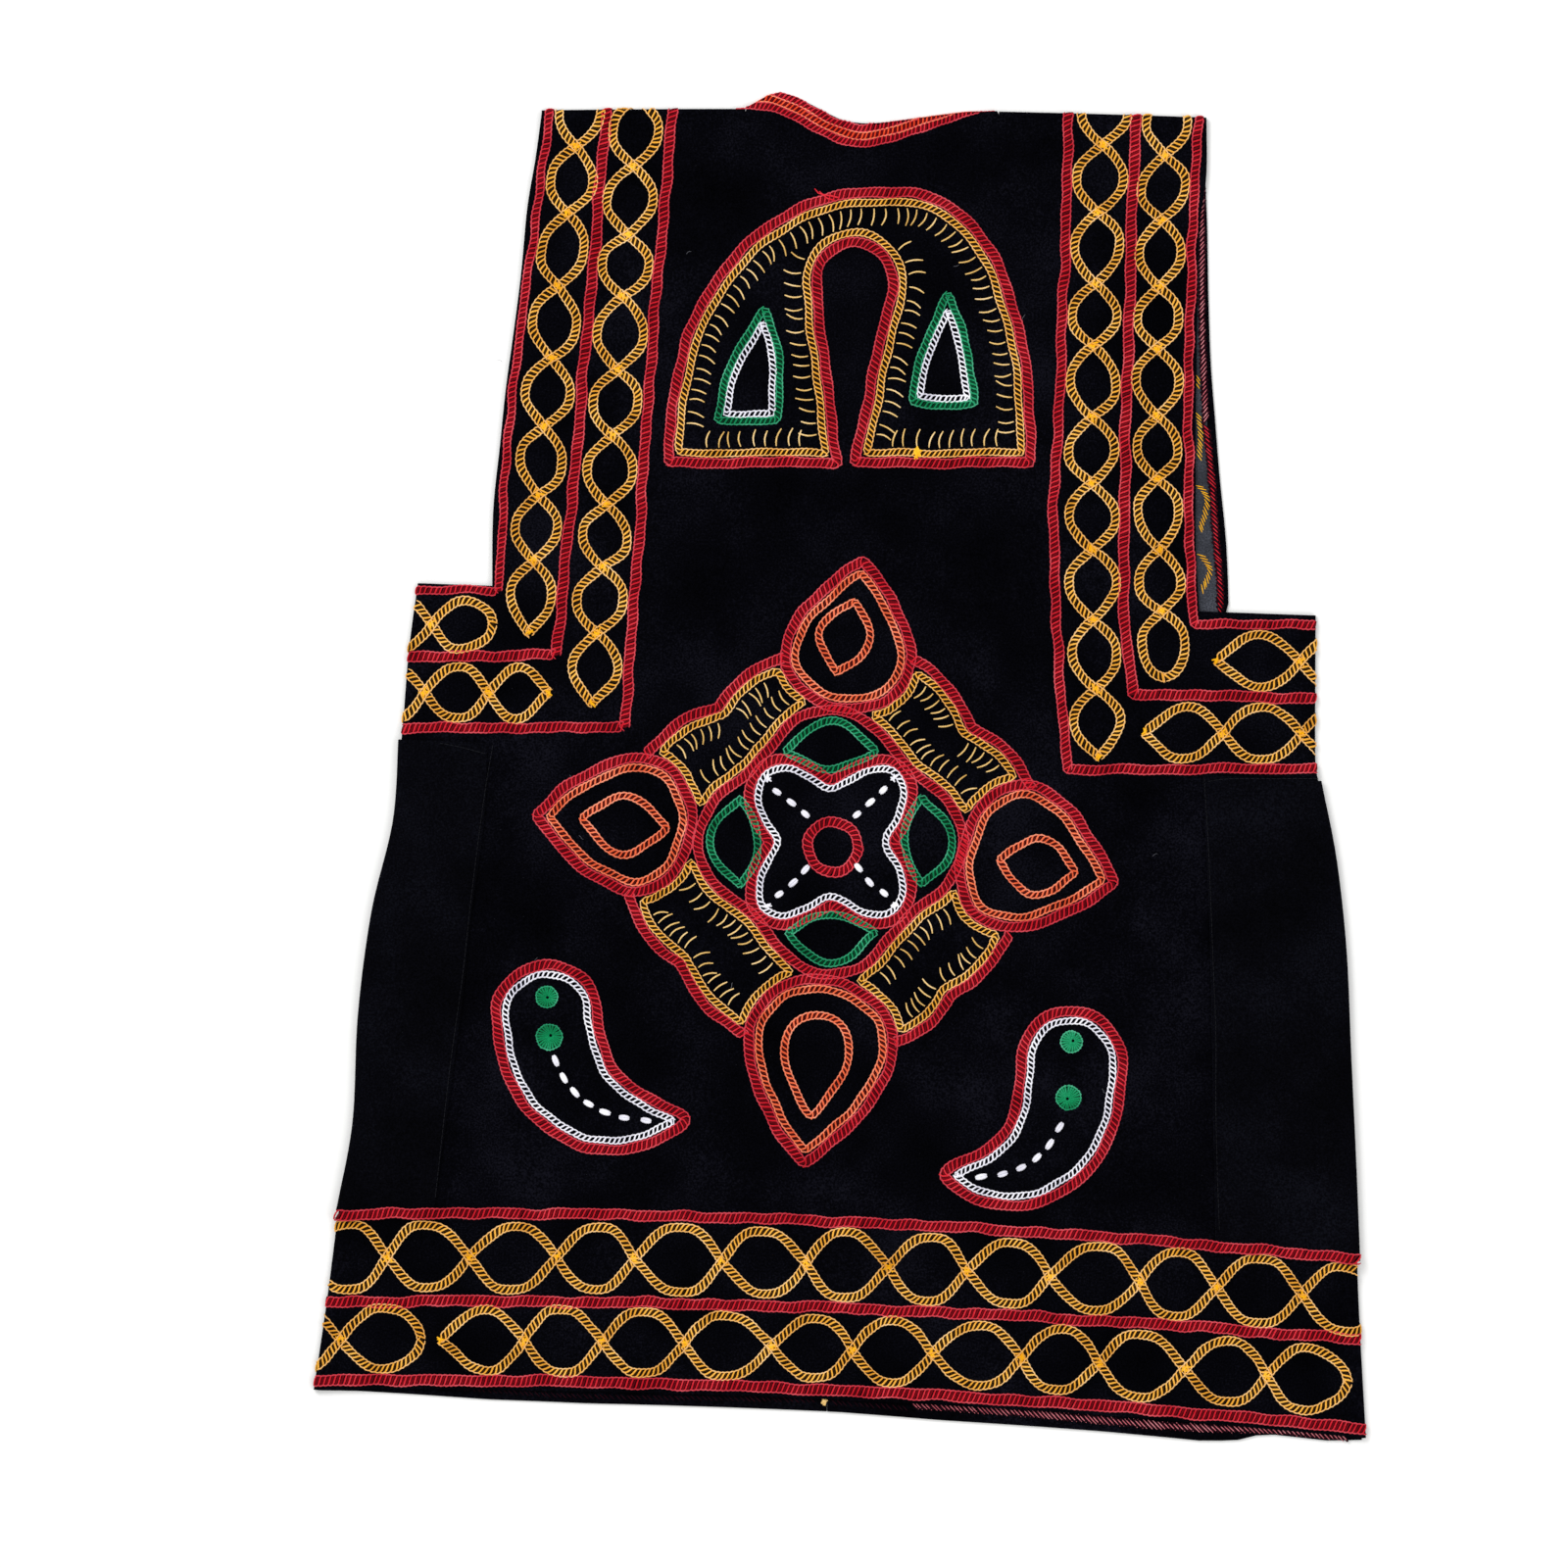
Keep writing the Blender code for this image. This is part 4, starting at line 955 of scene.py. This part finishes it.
def dropped(tip, base, width):
    # A closed line with a point at the tip and round at the base.
    base, run = Vector(base), Vector(tip) - Vector(base)
    aside = Vector((-run.y, run.x)).normalized() * width / 2
    sharp = drops["sharpness"]
    widest = math.sqrt((1 + sharp) / (2 + sharp))  # sine of half the turn there
    most = 2 * widest * math.sqrt(1 - widest ** 2) * widest ** sharp
    line = []
    for turn in evenly(0, 2 * math.pi, 0.03)[:-1]:
        out = math.sin(turn) * math.sin(turn / 2) ** sharp / most
        line.append(base + run * (1 + math.cos(turn)) / 2 + aside * out)
    return line


def aroundRose(turn, reach):  # a point by its direction, in degrees, and distance from the rosette's middle
    turn = math.radians(turn)
    return Vector(rose["middle"]) + Vector((math.cos(turn), math.sin(turn))) * reach


def swung(radius, swing, first):
    # A closed line round the rosette's middle, farther off in four directions from the first.
    return [aroundRose(turn, radius + swing * math.cos(math.radians(4 * (turn - first))))
            for turn in evenly(0, 360, 1)[:-1]]


def spineAt(head, bend, tip, share):  # a place along a paisley's curved spine, from the head on
    return head * (1 - share) ** 2 + bend * 2 * share * (1 - share) + tip * share ** 2


def curled(head, radius, bend, tip):
    # A closed line round a curved spine: from the tip along one side, round the head and back.
    sides = ([], [])
    for share in evenly(1, 0, 0.02):
        middle = spineAt(head, bend, tip, share)
        run = (bend - head) * (1 - share) + (tip - bend) * share
        half = radius * (1 - share ** taper["along"]) ** taper["end"]
        aside = Vector((-run.y, run.x)).normalized() * half
        sides[0].append(middle + aside)
        sides[1].append(middle - aside)
    back = (head - bend).normalized() * radius
    across = sides[0][-1] - head
    turns = evenly(0, math.pi, 0.05)[1:-1]
    roundHead = [head + across * math.cos(turn) + back * math.sin(turn) for turn in turns]
    return sides[0] + roundHead + sides[1][:0:-1]


arch = {"foot": 169, "crownX": 27, "crownY": 320, "left": 122, "right": 79, "leftFullness": 2.2,
        "rightFullness": 2.4}
keyhole = {"footLeft": -2, "footRight": 8, "headX": 8, "headY": 270, "radius": 21.5, "wrap": 0.2}
overHead = {"x": 4, "y": 300, "radius": 27}  # no stitches point up from here
scoop = {"leftRise": 21, "leftWidth": 58, "rightSlope": 0.36, "soft": 12}
drops = {"sharpness": 0.9}
taper = {"along": 2.5, "end": 0.7}  # powers of how a paisley narrows to its tip
rose = {"middle": (-5, -42), "lobes": (67, 7), "star": (41, 11), "lensEnds": 56, "lensTurn": 26,
        "lensBows": (17.5, 9.5), "panelAt": 84, "gap": 5.4, "dashes": (21, 31, 41), "tips": 50,
        "ring": (-4, -45, 14)}
directions = {"Right": 0, "Top": 90, "Left": 180, "Bottom": 270}
diagonals = {"TopRight": 45, "TopLeft": 135, "BottomLeft": 225, "BottomRight": 315}
# Corners clockwise, and how far each side bows outwards.
triangles = {
    "triangleLeft": ("triangle_left", ((-42, 254), (-35, 193), (-68, 193)), (5, 1, 5)),
    "triangleRight": ("triangle_right", ((60, 263), (75, 202), (40, 203)), (3, 2, 3)),
}
# Tip, base and width of each petal, and its leaf: a line with two points, or a drop.
petals = {
    "Top": (((13, 114), (0, 33), 70), bowed(((8, 92), (-2, 52)), (14, 14))),
    "Right": (((152, -65), (69, -42), 80), bowed(((89, -52), (131, -59)), (16, 16))),
    "Bottom": (((-20, -221), (-6, -119), 80), dropped((-16, -194), (-11, -138), 36)),
    "Left": (((-169, -27), (-83, -35), 74), bowed(((-143, -29), (-97, -34)), (15, 18))),
}
# Scallops between the petals: node, and the corners that their two bows join.
scallops = {
    "TopLeft": ("scallop_top_left", ((-108, 5), (-68, 33), (-31, 60))),
    "TopRight": ("scallop_top_right", ((40, 60), (73, 22), (107, -13))),
    "BottomRight": ("scallop_bottom_right", ((94, -92), (61, -128), (30, -153))),
    "BottomLeft": ("scallop_bottom_left", ((-52, -150), (-90, -109), (-117, -71))),
}
scallopBow = 5
# Head, radius, the point the spine bends towards, and the tip.
paisleys = {
    "Left": ((-163, -138), 28, (-160, -205), (-86, -196)),
    "Right": ((129, -164), 28, (128, -238), (58, -227)),
}
# Three rows side by side round the neck, which pass behind the shoulders: kind, ends, lowest place.
neckRows = (
    ("neckRed", -54, 66, (13, 355.2)), ("orange", -60, 76, (13, 351)), ("neckRed", -58, 86, (12, 346.8)))


def offsetLine(line, closed, distance):
    # The line moved to its right by a distance, with the points that would cross over left out.
    track = Follow(line, closed)
    moved = []
    count = int(track.length)
    for k in range(count if closed else count + 1):
        s = track.length * k / count
        at = track.point(s) - track.normal(s, 0.8) * distance
        if all((at - other).length > abs(distance) - 0.35 for other in line[::2]):
            moved.append(at)
    return moved


def areaSign(line):
    total = sum(a.x * b.y - a.y * b.x for a, b in zip(line, line[1:] + line[:1]))
    return 1 if total > 0 else -1


def inset(line, distance):  # a closed line moved inwards
    return offsetLine(line, True, -distance * areaSign(line))


def sewClosed(name, line, kind, node=None, lean=None, extra=(), extraFinish=()):
    # A closed row, with extra strands in a finish of their own.
    dice = random.Random(name)
    form = rowKinds[kind]
    strands = lacedRow(line, True, kind, dice, lean)
    strands += [(points, radii, len(form.finishes), sides) for points, radii, _, sides in extra]
    keepWork(yarnPiece(name, laidOnBack(strands), (*form.finishes, *extraFinish)), node)


# Short stitches inside a closed row: how far in they start, their length, spacing, bow and yarn
# radius, how clear their ends stay of the row, how far from a corner they stop, how straight the
# row has to be there, and how squarely a side has to face the given direction.
panelTicks = {"gap": 3.4, "length": 9.0, "spacing": 5.7, "bow": 0.1, "yarn": 0.46, "clear": 3.4, "reach": 5,
              "straight": 0.8, "facing": 0.55}
archTicks = {**panelTicks, "length": 9.4, "spacing": 6.4, "clear": 1.8, "reach": 10, "straight": 0.7}
tickForm = ((0, 0.25, 0.7), (0.25, 0.5, 0.95), (0.5, 0.62, 1), (0.75, 0.5, 1), (1, 0.2, 0.75))


def sewTicks(name, line, ticks, along=None, bare=None):
    # Bent stitches that point inwards from a closed line, none in its corners. Where a direction
    # is given, only the sides that face along it have them. None point up from the bare circle.
    dice = random.Random(name)
    sign = areaSign(line)
    track = Follow(line, True)
    strands = []
    count = round(track.length / ticks["spacing"])
    for k in range(count):
        s = (k + 0.5 + dice.uniform(-0.12, 0.12)) * track.length / count
        inward = track.normal(s, 2.5) * sign
        size = ticks["length"] * dice.uniform(0.88, 1.1)
        tilt, bow = dice.uniform(0.0, 0.35), dice.uniform(0.6, 1.4) * ticks["bow"]
        aside = Vector((inward.y, -inward.x))
        root = track.point(s) + inward * ticks["gap"]
        run = (inward + aside * tilt).normalized() * size
        before, after = track.normal(s - ticks["reach"], 2), track.normal(s + ticks["reach"], 2)
        if before.dot(after) < ticks["straight"]:
            continue
        if along and abs(inward.dot(along)) < ticks["facing"]:
            continue
        if bare and inward.y > 0 and math.hypot(root.x - bare["x"], root.y - bare["y"]) < bare["radius"]:
            continue
        if any((root + run - at).length < ticks["clear"] for at in line[::3]):
            continue
        points = []
        for share, up, _ in tickForm:
            at = root + run * share - aside * size * bow * math.sin(math.pi * share)
            points.append((at.x, at.y, up))
        strands.append((points, [ticks["yarn"] * part[-1] for part in tickForm], 0, 1))
    keepWork(yarnPiece(name, laidOnBack(strands), (creamWool,)))


def byHand(name, line):
    return wavered(line, True, random.Random(name + "Line"))


# How far inside a closed line the row within it lies.
within = {"arch": 5.5, "petal": 5.5, "triangle": 3.9, "paisley": 5.3, "star": -4.9}

# The arch with its keyhole, a gold row inside the red one and short stitches inside that.
tail = [
    ([(-1, 316.5, 0.6), (-5, 317.5, 0.9), (-9, 318, 0.8), (-12, 319, 0.6), (-14, 321.5, 0.4)],
     (0.5, 0.5, 0.45, 0.4, 0.3), 0, 1),
    ([(-3, 315, 0.6), (-7, 316, 0.9), (-10, 318.6, 0.8), (-11.5, 320, 0.5)], (0.5, 0.45, 0.4, 0.3), 0, 1)]
archLine = byHand("arch", arched())
sewClosed("archRow", archLine, "red", "arch", None, tail, (redWool,))
archInner = inset(archLine, within["arch"])
archKnot = knot((43, 174.5), 5.0, 0, random.Random("archTail"), 8)
sewClosed("archGold", archInner, "goldFine", None, None, archKnot, (goldWoolBright,))
sewTicks("archTicks", archInner, archTicks, None, overHead)
for name, (node, corners, bows) in triangles.items():
    line = byHand(name, bowed(corners, bows))
    sewClosed(name, line, "green", node)
    sewClosed(name + "White", inset(line, within["triangle"]), "white", None, 1.8)
print("arch sewn")

# The rosette: petals with a leaf in each, panels between them, and the star in the middle.
redLines = []  # the red lines that the panels lie between
for place, (sizes, leaf) in petals.items():
    outer = byHand("petal" + place, dropped(*sizes))
    redLines += outer
    sewClosed("petal" + place, outer, "red", "petal_" + place.lower())
    sewClosed("petalInner" + place, inset(outer, within["petal"]), "salmon")
    sewClosed("leaf" + place, byHand("leaf" + place, leaf), "salmon", "leaf_" + place.lower())
for place, (node, corners) in scallops.items():
    line = bowed(corners, (scallopBow,) * 2, False)
    redLines += line
    sewRow("scallop" + place, node, [(line, 2.4)], rowKinds["red"].width)
lobesLine = byHand("lobes", swung(*rose["lobes"], 0))
redLines += lobesLine
sewClosed("lobesRow", lobesLine, "red", "lobes")


def betweenLines(middle, lines, gap):
    # The closed line round a middle that keeps a gap to the nearest of the lines.
    tree = kdtree.KDTree(len(lines))
    for i, at in enumerate(lines):
        tree.insert((at.x, at.y, 0), i)
    tree.balance()
    ring = []
    for turn in evenly(0, 2 * math.pi, 0.05)[:-1]:
        step = Vector((math.cos(turn), math.sin(turn)))
        reach = 0.0
        while tree.find((middle + step * reach).to_3d())[2] > gap:
            reach += 0.4
        ring.append(middle + step * reach)
    return smoothLine([tuple(at) for at in ring], True)


for place, turn in diagonals.items():
    name = "panel" + place
    line = betweenLines(aroundRose(turn, rose["panelAt"]), redLines, rose["gap"])
    sewClosed(name, line, "goldFine")
    sewTicks(name + "Ticks", line, panelTicks, aroundRose(turn, 1) - Vector(rose["middle"]))
starLine = byHand("star", swung(*rose["star"], 45))
sewClosed("starRed", inset(starLine, within["star"]), "red", None, 2.4)
starKnots = []
dice = random.Random("star")
for turn in diagonals.values():
    starKnots += knot(aroundRose(turn, rose["tips"]), 3.4, 0, dice, 5)
sewClosed("starRow", starLine, "white", "star", 1.9, starKnots, (whiteWool,))
for place, turn in directions.items():
    ends = [tuple(aroundRose(turn + side * rose["lensTurn"], rose["lensEnds"])) for side in (1, -1)]
    sewClosed("lens" + place, byHand("lens" + place, bowed(ends, rose["lensBows"])), "green")
ringX, ringY, ringRadius = rose["ring"]
ringLine = [Vector((ringX + ringRadius * math.cos(turn), ringY + ringRadius * math.sin(turn)))
            for turn in evenly(0, 2 * math.pi, 0.1)[:-1]]
sewClosed("ringRow", byHand("ring", ringLine), "red", "ring", 2.2)

# Stroke of a dash: place in half lengths, height, thickness.
dashForm = ((-1, 0.15, 0.45), (-0.6, 0.7, 0.85), (0, 0.95, 0.92), (0.6, 0.7, 0.85), (1, 0.15, 0.45))


def dash(at, angle, size):
    # One long stitch of doubled yarn.
    run = Vector((math.cos(angle), math.sin(angle)))
    across = Vector((-run.y, run.x)) * 0.78
    strands = []
    for side in (-1, 1):
        points = []
        for t, up, _ in dashForm:
            spot = Vector(at) + run * t * size / 2 + across * side * (1 - 0.45 * t * t)
            points.append((spot.x, spot.y, up))
        strands.append((points, [part[-1] for part in dashForm], 0, 1))
    return strands


def dashLine(points, dice, size=5.2):
    strands = []
    for i, at in enumerate(points):
        before, after = points[max(0, i - 1)], points[min(len(points) - 1, i + 1)]
        angle = math.atan2(after[1] - before[1], after[0] - before[0]) + dice.uniform(-0.12, 0.12)
        strands += dash(at, angle, size * dice.uniform(0.92, 1.12))
    return strands


dice = random.Random("dashes")
starDashes = []
for turn in diagonals.values():
    points = [tuple(aroundRose(turn + dice.uniform(-3, 3), reach)) for reach in rose["dashes"]]
    starDashes += dashLine(points, dice)
keepWork(yarnPiece("starDashes", laidOnBack(starDashes), (whiteWool,)))
print("rosette sewn")


def wheelDot(at, radius, hub, dice):
    # A buttonhole wheel: strands from a small hub, off the middle, to a rim of short strokes.
    strands = []
    count = round(radius * 3.4)
    hub = Vector(at) + Vector(hub)
    for k in range(count):
        turn = (k + dice.uniform(-0.15, 0.15)) / count * 2 * math.pi
        out = Vector((math.cos(turn), math.sin(turn)))
        edge = Vector(at) + out * (radius - 0.5) * dice.uniform(0.97, 1.03)
        start = hub + (edge - hub).normalized() * 0.9
        points = [(*start.lerp(edge, share), up)
                  for share, up in ((0, 0.35), (0.4, 0.85), (0.8, 0.8), (1, 0.4))]
        strands.append((points, (0.3, 0.5, 0.62, 0.5), 0, 1))
        along = Vector((-out.y, out.x)) * radius * 3.5 / count
        rim = [(*(edge - along * 0.9), 0.3), (*(edge + out * 0.35), 0.6), (*(edge + along * 0.9), 0.3)]
        # The rim strokes take the paler copy of the green: a painted highlight.
        strands.append((rim, (0.35, 0.48, 0.35), 1, 1))
    return strands


# Places along the spine: dots with their radii, and the first, last and number of the dashes.
paisleyFilling = {
    "Left": {"dots": ((-0.07, 6.2), (0.1, 7.4)), "dashes": (0.22, 0.84, 7)},
    "Right": {"dots": ((-0.07, 6.2), (0.15, 7.0)), "dashes": (0.3, 0.84, 6)},
}
for place, (head, radius, bend, tip) in paisleys.items():
    name = "paisley" + place
    dice = random.Random(name)
    head, bend, tip = Vector(head), Vector(bend), Vector(tip)
    line = byHand(name, curled(head, radius, bend, tip))
    sewClosed(name, line, "red", "paisley_" + place.lower())
    sewClosed(name + "White", inset(line, within["paisley"]), "white", None, 1.9)
    dots = []
    for share, size in paisleyFilling[place]["dots"]:
        hub = dice.uniform(-1, 1), dice.uniform(-1, 1)
        dots += wheelDot(spineAt(head, bend, tip, share), size, hub, dice)
    keepWork(yarnPiece(name + "Dots", laidOnBack(dots), (greenWool, greenWoolPale)))
    first, last, count = paisleyFilling[place]["dashes"]
    shares = (first + (last - first) * k / (count - 1) for k in range(count))
    strands = dashLine([tuple(spineAt(head, bend, tip, share)) for share in shares], dice, 5.8)
    keepWork(yarnPiece(name + "Dashes", laidOnBack(strands), (whiteWool,)))
print("paisleys sewn")

dice = random.Random("neck")
neckStrands, neckFinishes = [], []
for kind, start, end, lowest in neckRows:
    offset = len(neckFinishes)
    for points, radii, finish, sides in lacedRow(scooped(start, end, lowest), False, kind, dice, 1.8):
        neckStrands.append((points, radii, finish + offset, sides))
    neckFinishes += rowKinds[kind].finishes
keepWork(yarnPiece("neckRows", laidOnBack(neckStrands), neckFinishes), "braid_neck")
print("neck sewn")


# Wrong side of the front's needlework, which shows at the right armhole and under the hem.
def onFront(x, y, up):
    return (x, y, cloth["wall"] + pocketLift(x, y) + up)


def slantedStitches(points, spacing, length, turn, radius, dice, up=0.45, finish=0):
    # Stitches across a line, turned from its normal by an angle.
    track = Follow(smoothLine(points, False), False)
    strands = []
    count = round(track.length / spacing)
    for k in range(count):
        s = (k + 0.5 + dice.uniform(-0.15, 0.15)) * track.length / count
        normal = track.normal(s)
        ahead = Vector((normal.y, -normal.x))
        run = (normal * math.cos(turn) + ahead * math.sin(turn)) * length / 2 * dice.uniform(0.85, 1.15)
        at = track.point(s)
        strands.append(([onFront(*(at - run), 0.1), onFront(*at, up), onFront(*(at + run), 0.1)],
                        (0.6 * radius, radius, 0.6 * radius), finish, 1))
    return strands


# Bright strokes over dark strands of painted shade: spacing and length along the armhole and the
# hem, yarn radius and height. Each line has the turn of its stitches, their length and their finish.
reverse = {
    "shade": {"armhole": (2.2, 6.4), "hem": (2.4, 6.0), "radius": 1.0, "up": -0.35},
    "stroke": {"armhole": 2.5, "hem": (2.6, 6.6), "radius": 0.3, "up": 0.8},
    "hemTurn": -0.85,
}
armholeLines = (
    (((201.6, 325), (201.6, 256), (202.2, 230), (203.8, 192)), -0.9, 5.0, 0),
    (((203.8, 190), (206.6, 165), (209.2, 130), (211.8, 100), (211.4, 86)), 0.85, 5.4, 2))
goldLines = (((199.3, 218), (199, 211)), ((199.2, 197), (200.8, 186), (200, 171)),
             ((199.5, 157), (204.6, 148), (200.5, 131)), ((201, 118), (206, 109), (201.5, 98)))
hemLine = ((40, -355.5), (100, -359.8), (160, -365.4), (201, -368.4), (240, -369.4), (282, -373.6))
# The faint lines are dim strokes in the dark maroon: painted shade where the hem lies in shadow.
faintLines = ((-230, -344.5), (-150, -350.5), (-60, -352), (-14, -353)), ((-5, -354), (38, -357.5))
dice = random.Random("reverse")
shade, stroke, hemTurn = reverse["shade"], reverse["stroke"], reverse["hemTurn"]
armholeReverse = []
for points, turn, length, finish in armholeLines:
    armholeReverse += slantedStitches(points, *shade["armhole"], turn, shade["radius"], dice, shade["up"], 1)
    armholeReverse += slantedStitches(
        points, stroke["armhole"], length, turn, stroke["radius"], dice, stroke["up"], finish)
reverseFinishes = (redWoolReverse, maroonShade, redWool)
keepWork(yarnPiece("armholeReverse", armholeReverse, reverseFinishes))
goldReverse = []
for points in goldLines:
    goldReverse += slantedStitches(points, 2.1, 4.8, 0.9, 0.32, dice)
keepWork(yarnPiece("goldReverse", goldReverse, (goldWoolBright,)))
hemReverse = slantedStitches(hemLine, *shade["hem"], hemTurn, shade["radius"], dice, shade["up"], 1)
hemReverse += slantedStitches(hemLine, *stroke["hem"], hemTurn, stroke["radius"], dice, stroke["up"])
for points in faintLines:
    hemReverse += slantedStitches(points, 3.0, 4.0, hemTurn, stroke["radius"], dice, 0.3, 1)
keepWork(yarnPiece("hemReverse", hemReverse, reverseFinishes))
hemKnot = [([(x, y, cloth["wall"] + z) for x, y, z in points], radii, finish, sides)
           for points, radii, finish, sides in knot((-9, -353.5), 3.6, 0, dice, 6)]
keepWork(yarnPiece("hemKnot", hemKnot, (creamWool,)))


# Machine stitching along the pocket edges, sunk in the pile.
def onPocket(x, y, up):
    return (x, y, 2 * cloth["pocketLayer"] + cloth["face"] + up)


pocketSeams = {
    "leftPocketStitching": (
        ((-241, 13.5), (-220, 12.5), (-197, 7)),
        ((-193, 12), (-198.5, -22), (-205, -73), (-210, -118), (-217, -169), (-225, -240))),
    "rightPocketStitching": (
        ((204.5, -8.5), (215, -7), (240, -6.8), (266, -6.8)),
        ((202.5, -6), (205, -48), (207.5, -110), (209, -150), (209, -191), (210, -232), (211, -258))),
}
seamStitch = {"spacing": 3.0, "half": 1.25, "form": ((-1, 0.05, 0.1), (0, 0.2, 0.16), (1, 0.05, 0.1))}
for name, lines in pocketSeams.items():
    strands = []
    for points in lines:
        track = Follow(smoothLine(points, False), False)
        count = round(track.length / seamStitch["spacing"])
        for k in range(count):
            s = (k + 0.5) * track.length / count
            stitch = [onPocket(*track.point(s + at * seamStitch["half"]), up)
                      for at, up, _ in seamStitch["form"]]
            strands.append((stitch, [part[-1] for part in seamStitch["form"]], 0, 0))
    keepWork(yarnPiece(name, strands, (blackThread,)))
print("seams sewn")

# Lint: short bent fibres caught in the pile.
lint = {"count": 15, "left": -190, "right": 180, "foot": -240, "top": 330, "step": 1.1, "bend": 0.9}
dice = random.Random("lint")
strands = []
for _ in range(lint["count"]):
    x = dice.uniform(lint["left"], lint["right"])
    y = dice.uniform(lint["foot"], lint["top"])
    angle = dice.uniform(0, 3.14)
    points = []
    for k in range(4):
        points.append((x, y, 0.15 + 0.15 * dice.random()))
        angle += dice.uniform(-lint["bend"], lint["bend"])
        x, y = x + math.cos(angle) * lint["step"], y + math.sin(angle) * lint["step"]
    strands.append((points, (0.08, 0.1, 0.1, 0.07), 0, 0))
keepWork(yarnPiece("lint", laidOnBack(strands), (lintFibre,)))

# Cloth sheets: what each was cut to, in metres.
for made, node, slot in ((back, "back_panel", "velvet"), (fronts[0], "front_left", "velvet"),
                         (fronts[1], "front_right", "velvet"), (pockets[0], "pocket_left", "pocket_velvet"),
                         (pockets[1], "pocket_right", "pocket_velvet")):
    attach(made, "root")
    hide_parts(node)

# Studio: pale floor, soft light, camera straight above. Places and sizes are in metres.
studio = {
    "floorSize": 6.0, "skyStrength": 0.75, "lensDistance": 3.2, "viewWidth": 0.8736, "sensor": 36,
    "centre": (-0.0311, -0.0098),
    "lamps": {"keyLight": ((-1.2, 1.4, 2.2), 1.2, 38), "fillLight": ((1.5, -0.8, 2.4), 1.6, 18)},
}
mesh = bmesh.new()
bmesh.ops.create_grid(mesh, x_segments=1, y_segments=1, size=studio["floorSize"] / 2)
paper = newFinish("whitePaper", {
    "Base Color": linearColour("#f6f6f5"), "Roughness": 0.9, "Specular IOR Level": 0.1})[0]
floor = tidyObject("floor", mesh, (paper,))

world = bpy.data.worlds.new("softWhite")
bpy.context.scene.world = world
world.use_nodes = True
sky = world.node_tree.nodes["Background"]
sky.inputs["Color"].default_value = (1, 1, 1, 1)
sky.inputs["Strength"].default_value = studio["skyStrength"]
for name, (place, size, power) in studio["lamps"].items():
    lamp = bpy.data.lights.new(name, "AREA")
    lamp.shape = "SQUARE"
    lamp.size = size
    lamp.energy = power
    made = bpy.data.objects.new(name, lamp)
    made.location = place
    made.rotation_euler = (-Vector(place)).to_track_quat("-Z", "Y").to_euler()
    bpy.context.collection.objects.link(made)

lens = bpy.data.cameras.new("camera")
lens.sensor_width = studio["sensor"]
lens.lens = studio["sensor"] * studio["lensDistance"] / studio["viewWidth"]
camera = bpy.data.objects.new("camera", lens)
camera.location = (*studio["centre"], studio["lensDistance"])
bpy.context.collection.objects.link(camera)
bpy.context.scene.camera = camera
bpy.context.scene.view_settings.view_transform = "Standard"
print("studio set")
